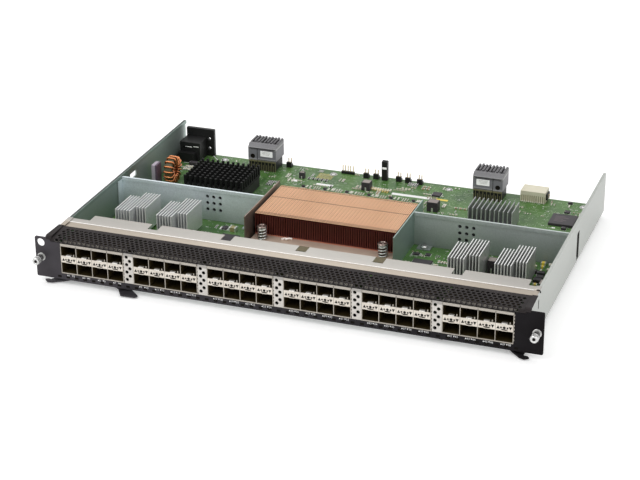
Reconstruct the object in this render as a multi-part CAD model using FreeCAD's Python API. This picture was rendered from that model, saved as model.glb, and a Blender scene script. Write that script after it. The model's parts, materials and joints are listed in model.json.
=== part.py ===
import FreeCAD, Part
import math
import os
from FreeCAD import Vector

os.makedirs("parts", exist_ok=True)

# A plug-in line card for a modular network switch. Millimetres, +X to the right along the front,
# +Y from the front face towards the backplane, +Z up. The origin is on the front plane, midway
# between the ends, at the height of the tray's underside.

# Overall sizes of the card. Its width follows from the ports, further down
ear_overhang = 12.0        # how far each mounting ear stands out past the side wall
card_depth = 285.0         # front face to the rear edge of the walls and the board
wall_height = 38.3
ear_height = 36.5
face_height = 33.6         # front face between the ears, below the ventilation grille

# Slots in the side walls: from and to, along Y and then Z
right_wall_slot = (169.0, 173.2, 6.6, 27.6)
left_wall_slot = (159.0, 172.0, 25.5, 31.0)
tray_bend = 0.6            # inner radius of the bends along the floor

# Ears and returns of the front face
ear_corner = 1.2
bezel_step = 0.8           # the ear's full height starts this far inside the side wall
ear_slope = 2.0            # run of the slope from the ear's top down to the face
ear_hole_radius = 3.6
ear_hole_z = 31.4
bezel_return = 14.0
bezel_return_low = 2.0
bezel_return_high = 32.0

# Sheet thicknesses and clearances
tray_sheet = 1.2
face_sheet = 1.5
thin_sheet = 0.8
guide_sheet = 1.0
seat_gap = 0.3             # between a fitted sheet and the wall beside it
hem_height = 3.2

# Circuit board
board_top = 6.0
board_sheet = 1.6
board_front = 16.0
board_side_gap = 0.9

# Pluggable ports: six cages of two rows by four
cage_count = 6
cage_columns = 4
port_pitch = 14.25
cage_sheet = 0.7
cage_gap = 8.8             # between neighbouring cages
cage_end_margin = 11.7     # from the outermost cage to the outside of the side wall
cage_height = 27.1
cage_proud = 0.6           # how far the cages stand out of the front face
cage_rear = 47.0
port_sill = 0.9            # edge below the lower openings
port_opening = 8.2
light_pipe_band = 7.2      # strip with the indicator windows, between the rows
top_lip = 2.9
band_depth = 33.0
indicator_size = 1.7
indicator_inset = 2.2
indicator_depth = 2.0
socket_slot = 1.6          # slot for a module's edge contacts
socket_slot_rise = 3.0
socket_slot_inset = 1.4
socket_slot_depth = 5.0
socket_clearance = 0.2

# Front face openings
window_gap = 0.3
slot_pitch = 7.9
slot_length = 3.2
slot_height = 1.6
slot_level = 2.6
strip_hole_radius = 1.5
strip_hole_rise = 3.4
strip_holes = 7
strip_hole_offset = 1.4    # zigzag of the holes to each side of the strip's middle
strip_clearance = 0.2
strip_return = 6.0

# Ventilation grille that bridges from the front face to the shroud
grille_rear = 23.5
grille_top = 37.0
grille_rise = 1.2
grille_hole_flats = 4.4
grille_hole_pitch = 8.2
grille_row_pitch = 7.0
grille_rows = 2
grille_first_row = 6.0
grille_end_margin = 6.0
grille_stagger = 0.25      # share of the pitch that each row is shifted, one way and the other
grille_corner = 0.6

# Bare steel shroud over the cages
shroud_rear = 40.2
shroud_tab_rear = 50.5
shroud_step = 0.6
shroud_step_front = 30.5
shroud_notch = 9.0
shroud_notch_shift = 4.2
shroud_tab_insets = (17.1, 8.1)        # plain ends of the shroud, left and right
shroud_return = 9.0

# Partitions and air guides round the main heat sink
left_partition_y = 140.0
right_partition_y = 150.0
partition_top = 37.0
guide_front = 93.0
guide_rear = 177.0
guide_clearance = 3.5      # from the heat sink's side to the outer face of a guide
heatsink_middle = 0.5
partition_hole_radius = 1.6
partition_hole_pitch = 6.1
foot_length = 9.0
foot_width = 12.0
foot_offset = 11.5         # from a guide's outer face to the middle of the foot
foot_screw_back = 5.0      # from the partition's front to the middle of the foot's screw
partition_return = 8.0
partition_holes_inset = 90.6           # from the side wall to the middle of the hole pattern
partition_holes_z = 22.9
guide_foot_length = 9.0
guide_foot_width = 10.0
guide_foot_inset = 16.0    # from each end of a guide to its foot

# Copper heat sink
sink_width = 128.0
sink_front = 98.5
sink_rear = 185.0
sink_fins_front = 110.0
sink_fins_rear = 174.0
sink_base_bottom = 9.4
sink_base_sheet = 5.0
sink_top = 34.0
sink_fin_pitch = 2.0
sink_fin_sheet = 0.4
sink_screw_inset = 9.3
sink_screw_edge = 3.9
sink_screw_head = 4.8
sink_screw_shoulder = 2.0
sink_screw_hole = 2.3
sink_chip = 52.0           # side of the switch chip's carrier
sink_chip_lid = 44.0
sink_chip_carrier = 1.8
spring_length = 10.6
spring_radius = 4.1

# Aluminium heat sinks
fin_count = 10
fin_pitch = 2.65
fin_sheet = 0.8
fin_top = 32.0
port_sink_front = 82.0
port_sink_depth = 42.0
port_sink_base = 2.5
port_sink_insets = ((-1, 34.1), (-1, 73.5), (1, 75.8), (1, 36.0))    # side, distance from its wall
corner_cut = 9.6
short_fins = 4
chip_height = 2.4
push_pin_inset = 4.4
push_pin_hole = 1.7
push_pin_radius = 1.6
push_pin_head = 2.8
port_chip = 17.0
processor_chip = 22.0
processor_fins = 12
processor_pitch = 3.4
processor_gap = 2.4        # extra space between the sixth and the seventh fin

# Rear connectors
backplane_width = 28.0
backplane_depth = 21.5
backplane_setback = 1.5    # from the board's rear edge
backplane_top = 32.0
wafer_top = 16.5
left_backplane_x = -117.0
right_backplane_x = 103.5
backplane_slope = 3.0
backplane_rib_count = 6
backplane_groove = 2.0
backplane_groove_depth = 1.2
pull_hole_radius = 1.8
pull_hole_offset = 10.0
pull_hole_rise = 3.8       # above the wafers
wafer_inset = 0.5

# Captive thumbscrews in the ears
screw_inset = 5.3          # from the ear's end
screw_z = 18.3
knob_radius = 4.0
knob_length = 7.5
knob_front = 13.5
knob_bore = 3.2
screw_radius = 1.5
screw_tip = 8.0
barrel_radius = 3.0
barrel_bore = 2.5
barrel_length = 6.5
ferrule_flange = 4.7
ferrule_flange_sheet = 0.8
press_gap = 0.05
running_gap = 0.1
ferrule_floor = 0.5        # the spring's seat, behind the ear's front face
ferrule_collar = 0.8
washer_sheet = 0.6
knob_web = 2.5             # solid front end of the knob
groove_depth = 0.4
shoulder_rise = 0.5        # keeps the screw in its ferrule
shoulder_gap = 0.3
drive_arm = 1.9
drive_width = 0.9
drive_depth = 1.4

# Ejector levers under the tray
lever_sheet = 1.5
lever_gap = 2.2            # between the tray's underside and the lever
pivot_inset = 9.8          # from the outside of the side wall
pivot_y = 13.0
pivot_radius = 2.5
lever_hub = 6.5
right_lever_closed = 12.0  # degrees that the right lever is swung further in than the left
rivet_head = 4.4
rivet_head_height = 0.8
rivet_upset = 3.4
rivet_upset_height = 0.7

cage_width = cage_columns * port_pitch + cage_sheet
cage_spacing = cage_width + cage_gap
half_tray = (cage_count * cage_spacing - cage_gap) / 2 + cage_end_margin
half_front = half_tray + ear_overhang
wall_inner = half_tray - tray_sheet
hem_inner = wall_inner - tray_sheet
screw_x = half_front - screw_inset
pivot_x = half_tray - pivot_inset
guide_offset = sink_width / 2 + guide_clearance
foot_x = guide_offset + foot_offset
partition_holes_x = wall_inner - partition_holes_inset
port_sink_centres = [side * (wall_inner - inset) for side, inset in port_sink_insets]
backplane_rear = card_depth - backplane_setback
backplane_front = backplane_rear - backplane_depth
board_bottom = board_top - board_sheet
cage_top = board_top + cage_height
port_width = port_pitch - cage_sheet
first_cage_x = -cage_spacing * (cage_count - 1) / 2
cages_half = -first_cage_x + cage_width / 2
sink_base_top = sink_base_bottom + sink_base_sheet
lower_row = board_top + port_sill
band_bottom = lower_row + port_opening
upper_row = band_bottom + light_pipe_band


def block(x0, x1, y0, y1, z0, z1):
    """A box between two corners."""
    return Part.makeBox(x1 - x0, y1 - y0, z1 - z0, Vector(x0, y0, z0))


def rod(x, y, z, radius, length, axis=Vector(0, 0, 1)):
    """A cylinder that starts at a point and runs along an axis."""
    return Part.makeCylinder(radius, length, Vector(x, y, z), axis)


def prism(points, direction):
    """A closed polygon, pushed along a direction."""
    return Part.Face(Part.makePolygon(points + points[:1])).extrude(direction)


def turned(profile, centre, axis):
    """A solid of revolution. profile lists (distance along the axis, radius) of one closed half section."""
    across = Vector(0, 0, 1) if abs(axis.z) < 0.5 else Vector(1, 0, 0)
    points = [centre + axis * along + across * radius for along, radius in profile]
    face = Part.Face(Part.makePolygon(points + points[:1]))
    return face.revolve(centre, axis, 360)


def hexagon(x, y, z, flats, height):
    """An upright hexagonal prism."""
    radius = flats / math.sqrt(3)
    corners = []
    for step in range(6):
        angle = math.radians(60 * step + 30)
        corners.append(Vector(x + radius * math.cos(angle), y + radius * math.sin(angle), z))
    return prism(corners, Vector(0, 0, height))


def joined(shapes):
    """One solid from pieces that share faces."""
    return shapes[0].multiFuse(shapes[1:]).removeSplitter()


def save(name, shapes):
    """Writes one sub-part, which may hold several separate solids."""
    pieces = shapes if isinstance(shapes, list) else [shapes]
    solids = [solid for piece in pieces for solid in piece.Solids]
    whole = solids[0] if len(solids) == 1 else Part.makeCompound(solids)
    whole.exportStep("parts/" + name + ".step")
    print(name, len(solids), "solids", round(sum(s.Volume for s in solids)), "mm3")


def cage_x(index):
    """The middle of a cage along the front."""
    return first_cage_x + cage_spacing * index


def pivot_at(side):
    """Where an ejector lever turns. side is -1 on the left and +1 on the right."""
    return Vector(side * pivot_x, pivot_y, 0)


# The tray: floor and both side walls folded from one sheet, with a closed hem along each top edge
def chassis_tray():
    outer = block(-half_tray, half_tray, face_sheet, card_depth, 0, wall_height)
    corners = [e for e in outer.Edges if e.BoundBox.ZMax < 0.01 and e.BoundBox.XLength < 0.01]
    outer = outer.makeFillet(tray_bend + tray_sheet, corners)
    inner = block(-wall_inner, wall_inner, face_sheet, card_depth, tray_sheet, wall_height + 1)
    corners = [e for e in inner.Edges
               if abs(e.BoundBox.ZMax - tray_sheet) < 0.01 and e.BoundBox.XLength < 0.01]
    tray = outer.cut(inner.makeFillet(tray_bend, corners))
    hems = [block(x, x + tray_sheet, face_sheet, card_depth, wall_height - hem_height, wall_height)
            for x in (-wall_inner, hem_inner)]
    tray = joined([tray] + hems)
    right_slot = block(hem_inner, half_tray + 1, *right_wall_slot)
    left_slot = block(-half_tray - 1, -hem_inner, *left_wall_slot)
    holes = [rod(side * pivot_x, pivot_y, -1, pivot_radius, tray_sheet + 2) for side in (-1, 1)]
    return tray.cut(Part.makeCompound([right_slot, left_slot] + holes))


# The front face: ears, one long window for the cages and a row of small slots along the bottom
def front_bezel():
    step = half_tray - bezel_step
    shoulder = step - ear_slope
    outline = [(-half_front, 0), (half_front, 0), (half_front, ear_height), (step, ear_height),
               (shoulder, face_height), (-shoulder, face_height), (-step, ear_height),
               (-half_front, ear_height)]
    face = prism([Vector(x, 0, z) for x, z in outline], Vector(0, face_sheet, 0))
    corners = [e for e in face.Edges
               if e.BoundBox.YLength > 1 and abs(abs(e.BoundBox.XMin) - half_front) < 0.01]
    face = face.makeFillet(ear_corner, corners)
    window_half = cages_half + window_gap
    window = block(-window_half, window_half, -1, face_sheet + 1,
                   board_top - window_gap, cage_top + window_gap)
    cuts = [window]
    slot_count = 2 * int((window_half + slot_length) / slot_pitch) + 1
    for number in range(slot_count):
        x = (number - (slot_count - 1) / 2) * slot_pitch
        cuts.append(block(x - slot_length / 2, x + slot_length / 2, -1, face_sheet + 1,
                          slot_level - slot_height / 2, slot_level + slot_height / 2))
    for side in (-1, 1):
        cuts.append(rod(side * screw_x, -1, screw_z, barrel_radius + 2 * press_gap, face_sheet + 2,
                        Vector(0, 1, 0)))
    cuts.append(rod(-screw_x, -1, ear_hole_z, ear_hole_radius, face_sheet + 2, Vector(0, 1, 0)))
    face = face.cut(Part.makeCompound(cuts))
    returns = []
    for side in (-1, 1):
        x = side * (hem_inner - tray_sheet / 2 - seat_gap)
        returns.append(block(x - tray_sheet / 2, x + tray_sheet / 2, face_sheet, bezel_return,
                             bezel_return_low, bezel_return_high))
    return joined([face] + returns)


# The black grille: a front lip and a perforated top that climbs to the shroud
def top_grille():
    half = hem_inner - seat_gap
    lip_bottom = face_height + seat_gap
    low = grille_top - guide_sheet
    profile = [(0, lip_bottom), (0, grille_top - grille_corner), (grille_corner, grille_top),
               (grille_rear, grille_top + grille_rise),
               (grille_rear, grille_top + grille_rise - guide_sheet),
               (guide_sheet, low), (guide_sheet, lip_bottom)]
    sheet = prism([Vector(-half, y, z) for y, z in profile], Vector(2 * half, 0, 0))
    across = int(2 * (half - grille_end_margin) / grille_hole_pitch)
    holes = []
    for row in range(grille_rows):
        shift = grille_stagger if row % 2 else -grille_stagger
        for number in range(across):
            x = (number - (across - 1) / 2 + shift) * grille_hole_pitch
            y = grille_first_row + grille_row_pitch * row
            holes.append(hexagon(x, y, low - 1, grille_hole_flats, grille_rise + 4))
    return sheet.cut(Part.makeCompound(holes))


# The shroud: a stepped strip behind the grille, with tabs at its rear edge and a return at each end
def port_shroud():
    half = hem_inner - seat_gap
    front = grille_rear + seat_gap
    top = wall_height
    low = top - shroud_step
    rise = shroud_step_front + 2 * shroud_step
    profile = [(front, low), (shroud_step_front, low), (rise, top), (shroud_rear, top),
               (shroud_rear, top - thin_sheet), (rise + seat_gap, top - thin_sheet),
               (shroud_step_front + seat_gap, low - thin_sheet), (front, low - thin_sheet)]
    pieces = [prism([Vector(-half, y, z) for y, z in profile], Vector(2 * half, 0, 0))]
    edges = [shroud_tab_insets[0] - half]
    for index in range(cage_count - 1):
        middle = (cage_x(index) + cage_x(index + 1)) / 2 + shroud_notch_shift
        edges += [middle - shroud_notch / 2, middle + shroud_notch / 2]
    edges.append(half - shroud_tab_insets[1])
    for start, end in zip(edges[0::2], edges[1::2]):
        pieces.append(block(start, end, shroud_rear, shroud_tab_rear, top - thin_sheet, top))
    for x in (-half, half - thin_sheet):
        pieces.append(block(x, x + thin_sheet, front, shroud_rear, top - shroud_return, low - thin_sheet))
    return joined(pieces)


# One cage: a folded shell, a floor, walls between the columns and a band with indicator windows
def port_cage(middle):
    left = middle - cage_width / 2
    right = middle + cage_width / 2
    front = -cage_proud
    shell = joined([
        block(left, right, front, cage_rear, cage_top - cage_sheet, cage_top),
        block(left, left + cage_sheet, front, cage_rear, board_top, cage_top - cage_sheet),
        block(right - cage_sheet, right, front, cage_rear, board_top, cage_top - cage_sheet),
        block(left + cage_sheet, right - cage_sheet, cage_rear - cage_sheet, cage_rear,
              board_top, cage_top - cage_sheet),
        block(left + cage_sheet, right - cage_sheet, front, front + cage_sheet,
              cage_top - top_lip, cage_top - cage_sheet)])
    sill = block(left + cage_sheet, right - cage_sheet, front, board_front,
                 lower_row - cage_sheet, lower_row)
    floor = block(left + cage_sheet, right - cage_sheet, board_front, band_depth, board_top, lower_row)
    solids = [shell, joined([sill, floor])]
    for column in range(1, cage_columns):
        x = left + column * port_pitch
        wall = block(x, x + cage_sheet, front + cage_sheet, cage_rear - cage_sheet,
                     lower_row, cage_top - cage_sheet)
        solids.append(wall)
    for column in range(cage_columns):
        x0 = left + cage_sheet + column * port_pitch
        band = block(x0, x0 + port_width, front, band_depth, band_bottom, upper_row)
        level = (band_bottom + upper_row) / 2
        pockets = []
        for x, way in ((x0 + indicator_inset, 1), (x0 + port_width - indicator_inset, -1)):
            corners = [Vector(x - indicator_size / 2, front - 1, level - way * indicator_size / 2),
                       Vector(x + indicator_size / 2, front - 1, level - way * indicator_size / 2),
                       Vector(x, front - 1, level + way * indicator_size / 2)]
            pockets.append(prism(corners, Vector(0, indicator_depth + 1, 0)))
        solids.append(band.cut(Part.makeCompound(pockets)))
    return solids


# The plastic sockets at the back of every column, each with two slots for the modules' edge contacts
def port_connectors():
    gap = socket_clearance
    front = band_depth + 1.0
    solids = []
    for index in range(cage_count):
        left = cage_x(index) - cage_width / 2
        for column in range(cage_columns):
            x0 = left + cage_sheet + column * port_pitch + gap
            x1 = x0 + port_width - 2 * gap
            socket = block(x0, x1, front, cage_rear - cage_sheet - gap, board_top,
                           cage_top - cage_sheet - gap)
            slots = [block(x0 + socket_slot_inset, x1 - socket_slot_inset, front - 1,
                           front + socket_slot_depth, z + socket_slot_rise,
                           z + socket_slot_rise + socket_slot)
                     for z in (lower_row, upper_row)]
            solids.append(socket.cut(Part.makeCompound(slots)))
    return solids


# Perforated channel strips that fill the gaps between the cages
def vent_strips():
    gap = strip_clearance
    half = (cage_spacing - cage_width) / 2 - gap
    low = board_top - window_gap + gap
    high = cage_top + window_gap - gap
    solids = []
    for index in range(cage_count - 1):
        x = (cage_x(index) + cage_x(index + 1)) / 2
        strip = block(x - half, x + half, -gap, strip_return, low, high)
        hollow = block(x - half + thin_sheet, x + half - thin_sheet, thin_sheet - gap, strip_return + 1,
                       low - 1, high + 1)
        holes = []
        for number in range(strip_holes):
            side = -1 if number % 2 == 0 else 1
            z = (low + high) / 2 + ((strip_holes - 1) / 2 - number) * strip_hole_rise
            holes.append(rod(x + side * strip_hole_offset, -1, z, strip_hole_radius, 3, Vector(0, 1, 0)))
        solids.append(strip.cut(Part.makeCompound([hollow] + holes)))
    return solids


# Places on the board where something passes through it
sink_screws = [(heatsink_middle + side * (sink_width / 2 - sink_screw_inset), y)
               for side in (-1, 1) for y in (sink_front + sink_screw_edge, sink_rear - sink_screw_edge)]
rear_screw_inset = 9.5
front_screw_y = 64.0
wall_screw_inset = 9.6
board_screw_places = [(x, card_depth - rear_screw_inset) for x in (-161.0, -50.0, 63.5, wall_inner - 15.6)]
board_screw_places += [(x, front_screw_y) for x in (wall_screw_inset - wall_inner, -88.0, 88.0,
                                                    wall_inner - wall_screw_inset)]
board_hole = 1.8
screw_shank = 1.4
standoff_radius = 3.0
standoff_floor = 0.6       # left below the threaded hole
standoff_clearance = 0.4   # between a screw's end and that floor
screw_reach = board_top - tray_sheet - standoff_floor - standoff_clearance


# The main circuit board
def main_board():
    half = wall_inner - board_side_gap
    board = block(-half, half, board_front, card_depth, board_bottom, board_top)
    holes = [rod(x, y, board_bottom - 1, board_hole, board_sheet + 2)
             for x, y in board_screw_places + sink_screws]
    return board.cut(Part.makeCompound(holes))


# Threaded standoffs pressed into the tray, under the board and under the heat sink's screws
def board_standoffs():
    solids = []
    for x, y in board_screw_places + sink_screws:
        post = rod(x, y, tray_sheet, standoff_radius, board_bottom - tray_sheet)
        thread = rod(x, y, tray_sheet + standoff_floor, screw_shank + press_gap, board_bottom)
        solids.append(post.cut(thread))
    return solids


# Pan head screws that hold the board down
def board_screws():
    solids = []
    for x, y in board_screw_places:
        profile = [(-screw_reach, 0), (-screw_reach, screw_shank), (0, screw_shank), (0, 3.0), (0.9, 3.0),
                   (1.7, 2.0), (1.7, 0)]
        solids.append(turned(profile, Vector(x, y, board_top), Vector(0, 0, 1)))
    return solids


# A cross wall: a plate with a hem along its top, a return on the side wall and one foot on the board
def partition(side, y):
    inner = heatsink_middle + side * (guide_offset + seat_gap)
    outer = side * (wall_inner - seat_gap)
    hem_edge = side * (hem_inner - seat_gap)
    x0, x1 = sorted((inner, hem_edge))
    low = board_top + seat_gap
    plate = block(x0, x1, y, y + guide_sheet, low, partition_top)
    hem = block(x0, x1, y - guide_sheet, y, partition_top - hem_height, partition_top)
    w0, w1 = sorted((hem_edge, outer))
    edge = block(w0, w1, y, y + guide_sheet, low, wall_height - hem_height - seat_gap)
    r0, r1 = sorted((outer, outer - side * guide_sheet))
    wall_return = block(r0, r1, y - partition_return, y, low, wall_height - hem_height - seat_gap)
    foot = block(side * foot_x - foot_width / 2, side * foot_x + foot_width / 2, y - foot_length,
                 y + guide_sheet, board_top, board_top + guide_sheet)
    wall = joined([plate, hem, edge, wall_return, foot])
    middle = side * partition_holes_x
    holes = [rod(middle + column * partition_hole_pitch, y - 1,
                 partition_holes_z + row * partition_hole_pitch, partition_hole_radius, guide_sheet + 2,
                 Vector(0, 1, 0))
             for row in (-1, 0, 1) for column in (-1, 0, 1)]
    holes.append(rod(side * foot_x, y - foot_screw_back, 0, screw_shank + press_gap, 2 * board_top))
    return wall.cut(Part.makeCompound(holes))


# Screws in the feet of the partitions
def foot_screws():
    solids = []
    for side, y in ((-1, left_partition_y), (1, right_partition_y)):
        profile = [(-guide_sheet, 0), (-guide_sheet, screw_shank), (0, screw_shank), (0, 3.4), (1.2, 3.4),
                   (2.2, 2.2), (2.2, 0)]
        place = Vector(side * foot_x, y - foot_screw_back, board_top + guide_sheet)
        solids.append(turned(profile, place, Vector(0, 0, 1)))
    return solids


# A plate beside the copper heat sink, with two feet turned in under the sink's base
def air_guide(side):
    outer = heatsink_middle + side * guide_offset
    x0, x1 = sorted((outer, outer - side * guide_sheet))
    plate = block(x0, x1, guide_front, guide_rear, board_top, partition_top)
    feet = []
    for y in (guide_front + guide_foot_inset, guide_rear - guide_foot_inset - guide_foot_width):
        f0, f1 = sorted((outer, outer - side * guide_foot_length))
        feet.append(block(f0, f1, y, y + guide_foot_width, board_top, board_top + guide_sheet))
    return joined([plate] + feet)


# The copper sink's base plate, with a hole for each spring screw
def heatsink_base():
    x0 = heatsink_middle - sink_width / 2
    plate = block(x0, x0 + sink_width, sink_front, sink_rear, sink_base_bottom, sink_base_top)
    holes = [rod(x, y, sink_base_bottom - 1, sink_screw_hole, sink_base_sheet + 2) for x, y in sink_screws]
    return plate.cut(Part.makeCompound(holes))


# The folded copper fins, interlocked into one block with a channel between each pair
def heatsink_fins():
    x0 = heatsink_middle - sink_width / 2
    stack = block(x0, x0 + sink_width, sink_fins_front, sink_fins_rear, sink_base_top, sink_top)
    channels = []
    for number in range(int(sink_width / sink_fin_pitch)):
        x = x0 + number * sink_fin_pitch + sink_fin_sheet
        channels.append(block(x, x + sink_fin_pitch - sink_fin_sheet, sink_fins_front - 1,
                              sink_fins_rear + 1, sink_base_top - 1, sink_top - sink_fin_sheet))
    return stack.cut(Part.makeCompound(channels))


# Spring screws of the copper sink: a broad head, a shoulder inside the spring and a thread below the board
def heatsink_screws():
    head = sink_base_sheet + spring_length
    end = board_top - screw_reach - sink_base_bottom
    board_face = board_top + running_gap - sink_base_bottom
    solids = []
    for x, y in sink_screws:
        profile = [(end, 0), (end, screw_shank), (board_face, screw_shank),
                   (board_face, sink_screw_shoulder),
                   (head, sink_screw_shoulder), (head, sink_screw_head),
                   (head + 0.8, sink_screw_head), (head + 1.2, 3.4),
                   (head + 2.4, 3.0), (head + 2.4, 0)]
        solids.append(turned(profile, Vector(x, y, sink_base_bottom), Vector(0, 0, 1)))
    return solids


# The coil springs under those heads, as the sleeve that their turns fill
def heatsink_springs():
    solids = []
    for x, y in sink_screws:
        sleeve = rod(x, y, sink_base_top, spring_radius, spring_length)
        solids.append(sleeve.cut(rod(x, y, sink_base_top - 1, spring_radius - 1.0, spring_length + 2)))
    return solids


# The switch chip below the copper base: a carrier with a metal lid
def switch_chip():
    x, y = heatsink_middle, (sink_fins_front + sink_fins_rear) / 2
    carrier = block(x - sink_chip / 2, x + sink_chip / 2, y - sink_chip / 2, y + sink_chip / 2,
                    board_top, board_top + sink_chip_carrier)
    lid = block(x - sink_chip_lid / 2, x + sink_chip_lid / 2, y - sink_chip_lid / 2, y + sink_chip_lid / 2,
                board_top + sink_chip_carrier, sink_base_bottom)
    return joined([carrier, lid])


# An aluminium sink with plate fins; two opposite corners are cut back for its push pins
def port_heatsink(middle):
    width = (fin_count - 1) * fin_pitch + fin_sheet
    left = middle - width / 2
    bottom = board_top + chip_height
    base_top = bottom + port_sink_base
    rear = port_sink_front + port_sink_depth
    pieces = [block(left, left + width, port_sink_front, rear, bottom, base_top)]
    for number in range(fin_count):
        start = port_sink_front + (corner_cut if number >= fin_count - short_fins else 0)
        end = rear - (corner_cut if number < short_fins else 0)
        x = left + number * fin_pitch
        pieces.append(block(x, x + fin_sheet, start, end, base_top, fin_top))
    sink = joined(pieces)
    holes = [rod(x, y, bottom - 1, push_pin_hole, port_sink_base + 2) for x, y in port_pin_places(middle)]
    return sink.cut(Part.makeCompound(holes))


def port_pin_places(middle):
    """The two cut back corners of a port heat sink."""
    width = (fin_count - 1) * fin_pitch + fin_sheet
    return [(middle + width / 2 - push_pin_inset, port_sink_front + push_pin_inset),
            (middle - width / 2 + push_pin_inset, port_sink_front + port_sink_depth - push_pin_inset)]


# The processor's sink: twelve plate fins with a wider gap in the middle
processor_x = 122.6
processor_front = 198.5
processor_depth = 25.0
processor_top = 26.0


def processor_heatsink():
    width = (processor_fins - 1) * processor_pitch + processor_gap + fin_sheet
    left = processor_x - width / 2
    bottom = board_top + chip_height
    rear = processor_front + processor_depth
    pieces = [block(left, left + width, processor_front, rear, bottom, bottom + port_sink_base)]
    for number in range(processor_fins):
        x = left + number * processor_pitch + (processor_gap if number >= processor_fins / 2 else 0)
        pieces.append(block(x, x + fin_sheet, processor_front, rear, bottom + port_sink_base, processor_top))
    return joined(pieces)


# Plastic push pins through the cut corners of the port heat sinks
def heatsink_push_pins():
    solids = []
    top = chip_height + port_sink_base
    for middle in port_sink_centres:
        for x, y in port_pin_places(middle):
            profile = [(0, 0), (0, push_pin_radius), (top, push_pin_radius), (top, push_pin_head),
                       (top + 1.2, push_pin_head), (top + 5.0, push_pin_radius), (top + 5.0, 0)]
            solids.append(turned(profile, Vector(x, y, board_top), Vector(0, 0, 1)))
    return solids


# The chips that the aluminium sinks sit on
def cooled_chips():
    places = [(x, port_sink_front + port_sink_depth / 2, port_chip) for x in port_sink_centres]
    places.append((processor_x, processor_front + processor_depth / 2, processor_chip))
    return board_parts([(x, y, size, size, chip_height) for x, y, size in places])


# The power converter and the black heat sink on it, cross cut into square pins
module_x = (-164.0, -106.0)
module_y = (185.0, 229.0)
module_height = 9.0
pin_fin_top = 26.0
pin_columns = 12
pin_rows = 9
pin_size = 2.0
pin_fin_base = 2.5


def power_module():
    return block(module_x[0], module_x[1], module_y[0] + 2, module_y[1] - 2, board_top,
                 board_top + module_height)


def pin_fin_heatsink():
    bottom = board_top + module_height
    base_top = bottom + pin_fin_base
    pieces = [block(module_x[0], module_x[1], module_y[0], module_y[1], bottom, base_top)]
    pitch_x = (module_x[1] - module_x[0] - pin_size) / (pin_columns - 1)
    pitch_y = (module_y[1] - module_y[0] - pin_size) / (pin_rows - 1)
    for column in range(pin_columns):
        for row in range(pin_rows):
            x = module_x[0] + column * pitch_x
            y = module_y[0] + row * pitch_y
            pieces.append(block(x, x + pin_size, y, y + pin_size, base_top, pin_fin_top))
    return joined(pieces)


# The choke: a ring core on edge, wound with thick copper wire
choke_inset = 20.1         # from the side wall to the middle of the core
choke_y = 208.0
choke_rise = 13.6          # the core's axis above the board
choke = Vector(choke_inset - wall_inner, choke_y, board_top + choke_rise)
choke_outer = 11.3
choke_inner = 6.2
choke_width = 6.6
wire = 1.7
wire_turns = 15
wire_gap = 0.15            # between the wire and the core


def choke_core():
    axis = Vector(1, 0, 0)
    start = choke - axis * (choke_width / 2)
    ring = Part.makeCylinder(choke_outer, choke_width, start, axis)
    return ring.cut(Part.makeCylinder(choke_inner, choke_width, start, axis))


def choke_winding():
    half = choke_width / 2 + wire_gap
    inner = choke_inner - wire_gap
    outer = choke_outer + wire_gap
    turn_outer = block(-half - wire, half + wire, -wire / 2, wire / 2, inner - wire, outer + wire)
    turn_inner = block(-half, half, -wire, wire, inner, outer)
    turn = turn_outer.cut(turn_inner)
    solids = []
    for number in range(wire_turns):
        loop = turn.copy()
        loop.rotate(Vector(0, 0, 0), Vector(1, 0, 0), (number + 0.5) * 360 / wire_turns)
        loop.translate(choke)
        solids.append(loop)
    return solids


# A box capacitor beside the choke
capacitor_inset = 5.4      # from the side wall
capacitor_sheet = 5.2
capacitor_y = (193.0, 203.5)
capacitor_top = 28.0


def filter_capacitor():
    left = capacitor_inset - wall_inner
    body = block(left, left + capacitor_sheet, *capacitor_y, board_top, capacitor_top)
    edges = [e for e in body.Edges if abs(e.BoundBox.ZMin - capacitor_top) < 0.01]
    return body.makeFillet(0.6, edges)


# The power inlet: a stepped block behind a flange that closes the rear corner
inlet_left = 3.1 - wall_inner
inlet_widths = (28.5, 20.5, 16.0)      # flange, body, nose
inlet_tops = (33.0, 24.5, 15.0)
inlet_fronts = (card_depth - 4.0, card_depth - 21.0, card_depth - 26.0)
inlet_rear = card_depth - 0.5
inlet_slot = (3.0, 17.5, 18.6, 20.4)   # from and to, along the body's width and then Z
inlet_slot_depth = 3.0
inlet_hole_offset = 23.5
inlet_hole_levels = (13.9, 23.6)
inlet_hole_radius = 1.5


def power_connector():
    rears = (inlet_rear,) + inlet_fronts[:2]
    steps = [block(inlet_left, inlet_left + width, front, rear, board_top, top)
             for width, top, front, rear in zip(inlet_widths, inlet_tops, inlet_fronts, rears)]
    start, end, low, high = inlet_slot
    cuts = [block(inlet_left + start, inlet_left + end, inlet_fronts[1] - 1,
                  inlet_fronts[1] + inlet_slot_depth, low, high)]
    for z in inlet_hole_levels:
        cuts.append(rod(inlet_left + inlet_hole_offset, inlet_fronts[0] - 1, z, inlet_hole_radius,
                        inlet_rear - inlet_fronts[0] + 2, Vector(0, 1, 0)))
    return joined(steps).cut(Part.makeCompound(cuts))


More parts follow.
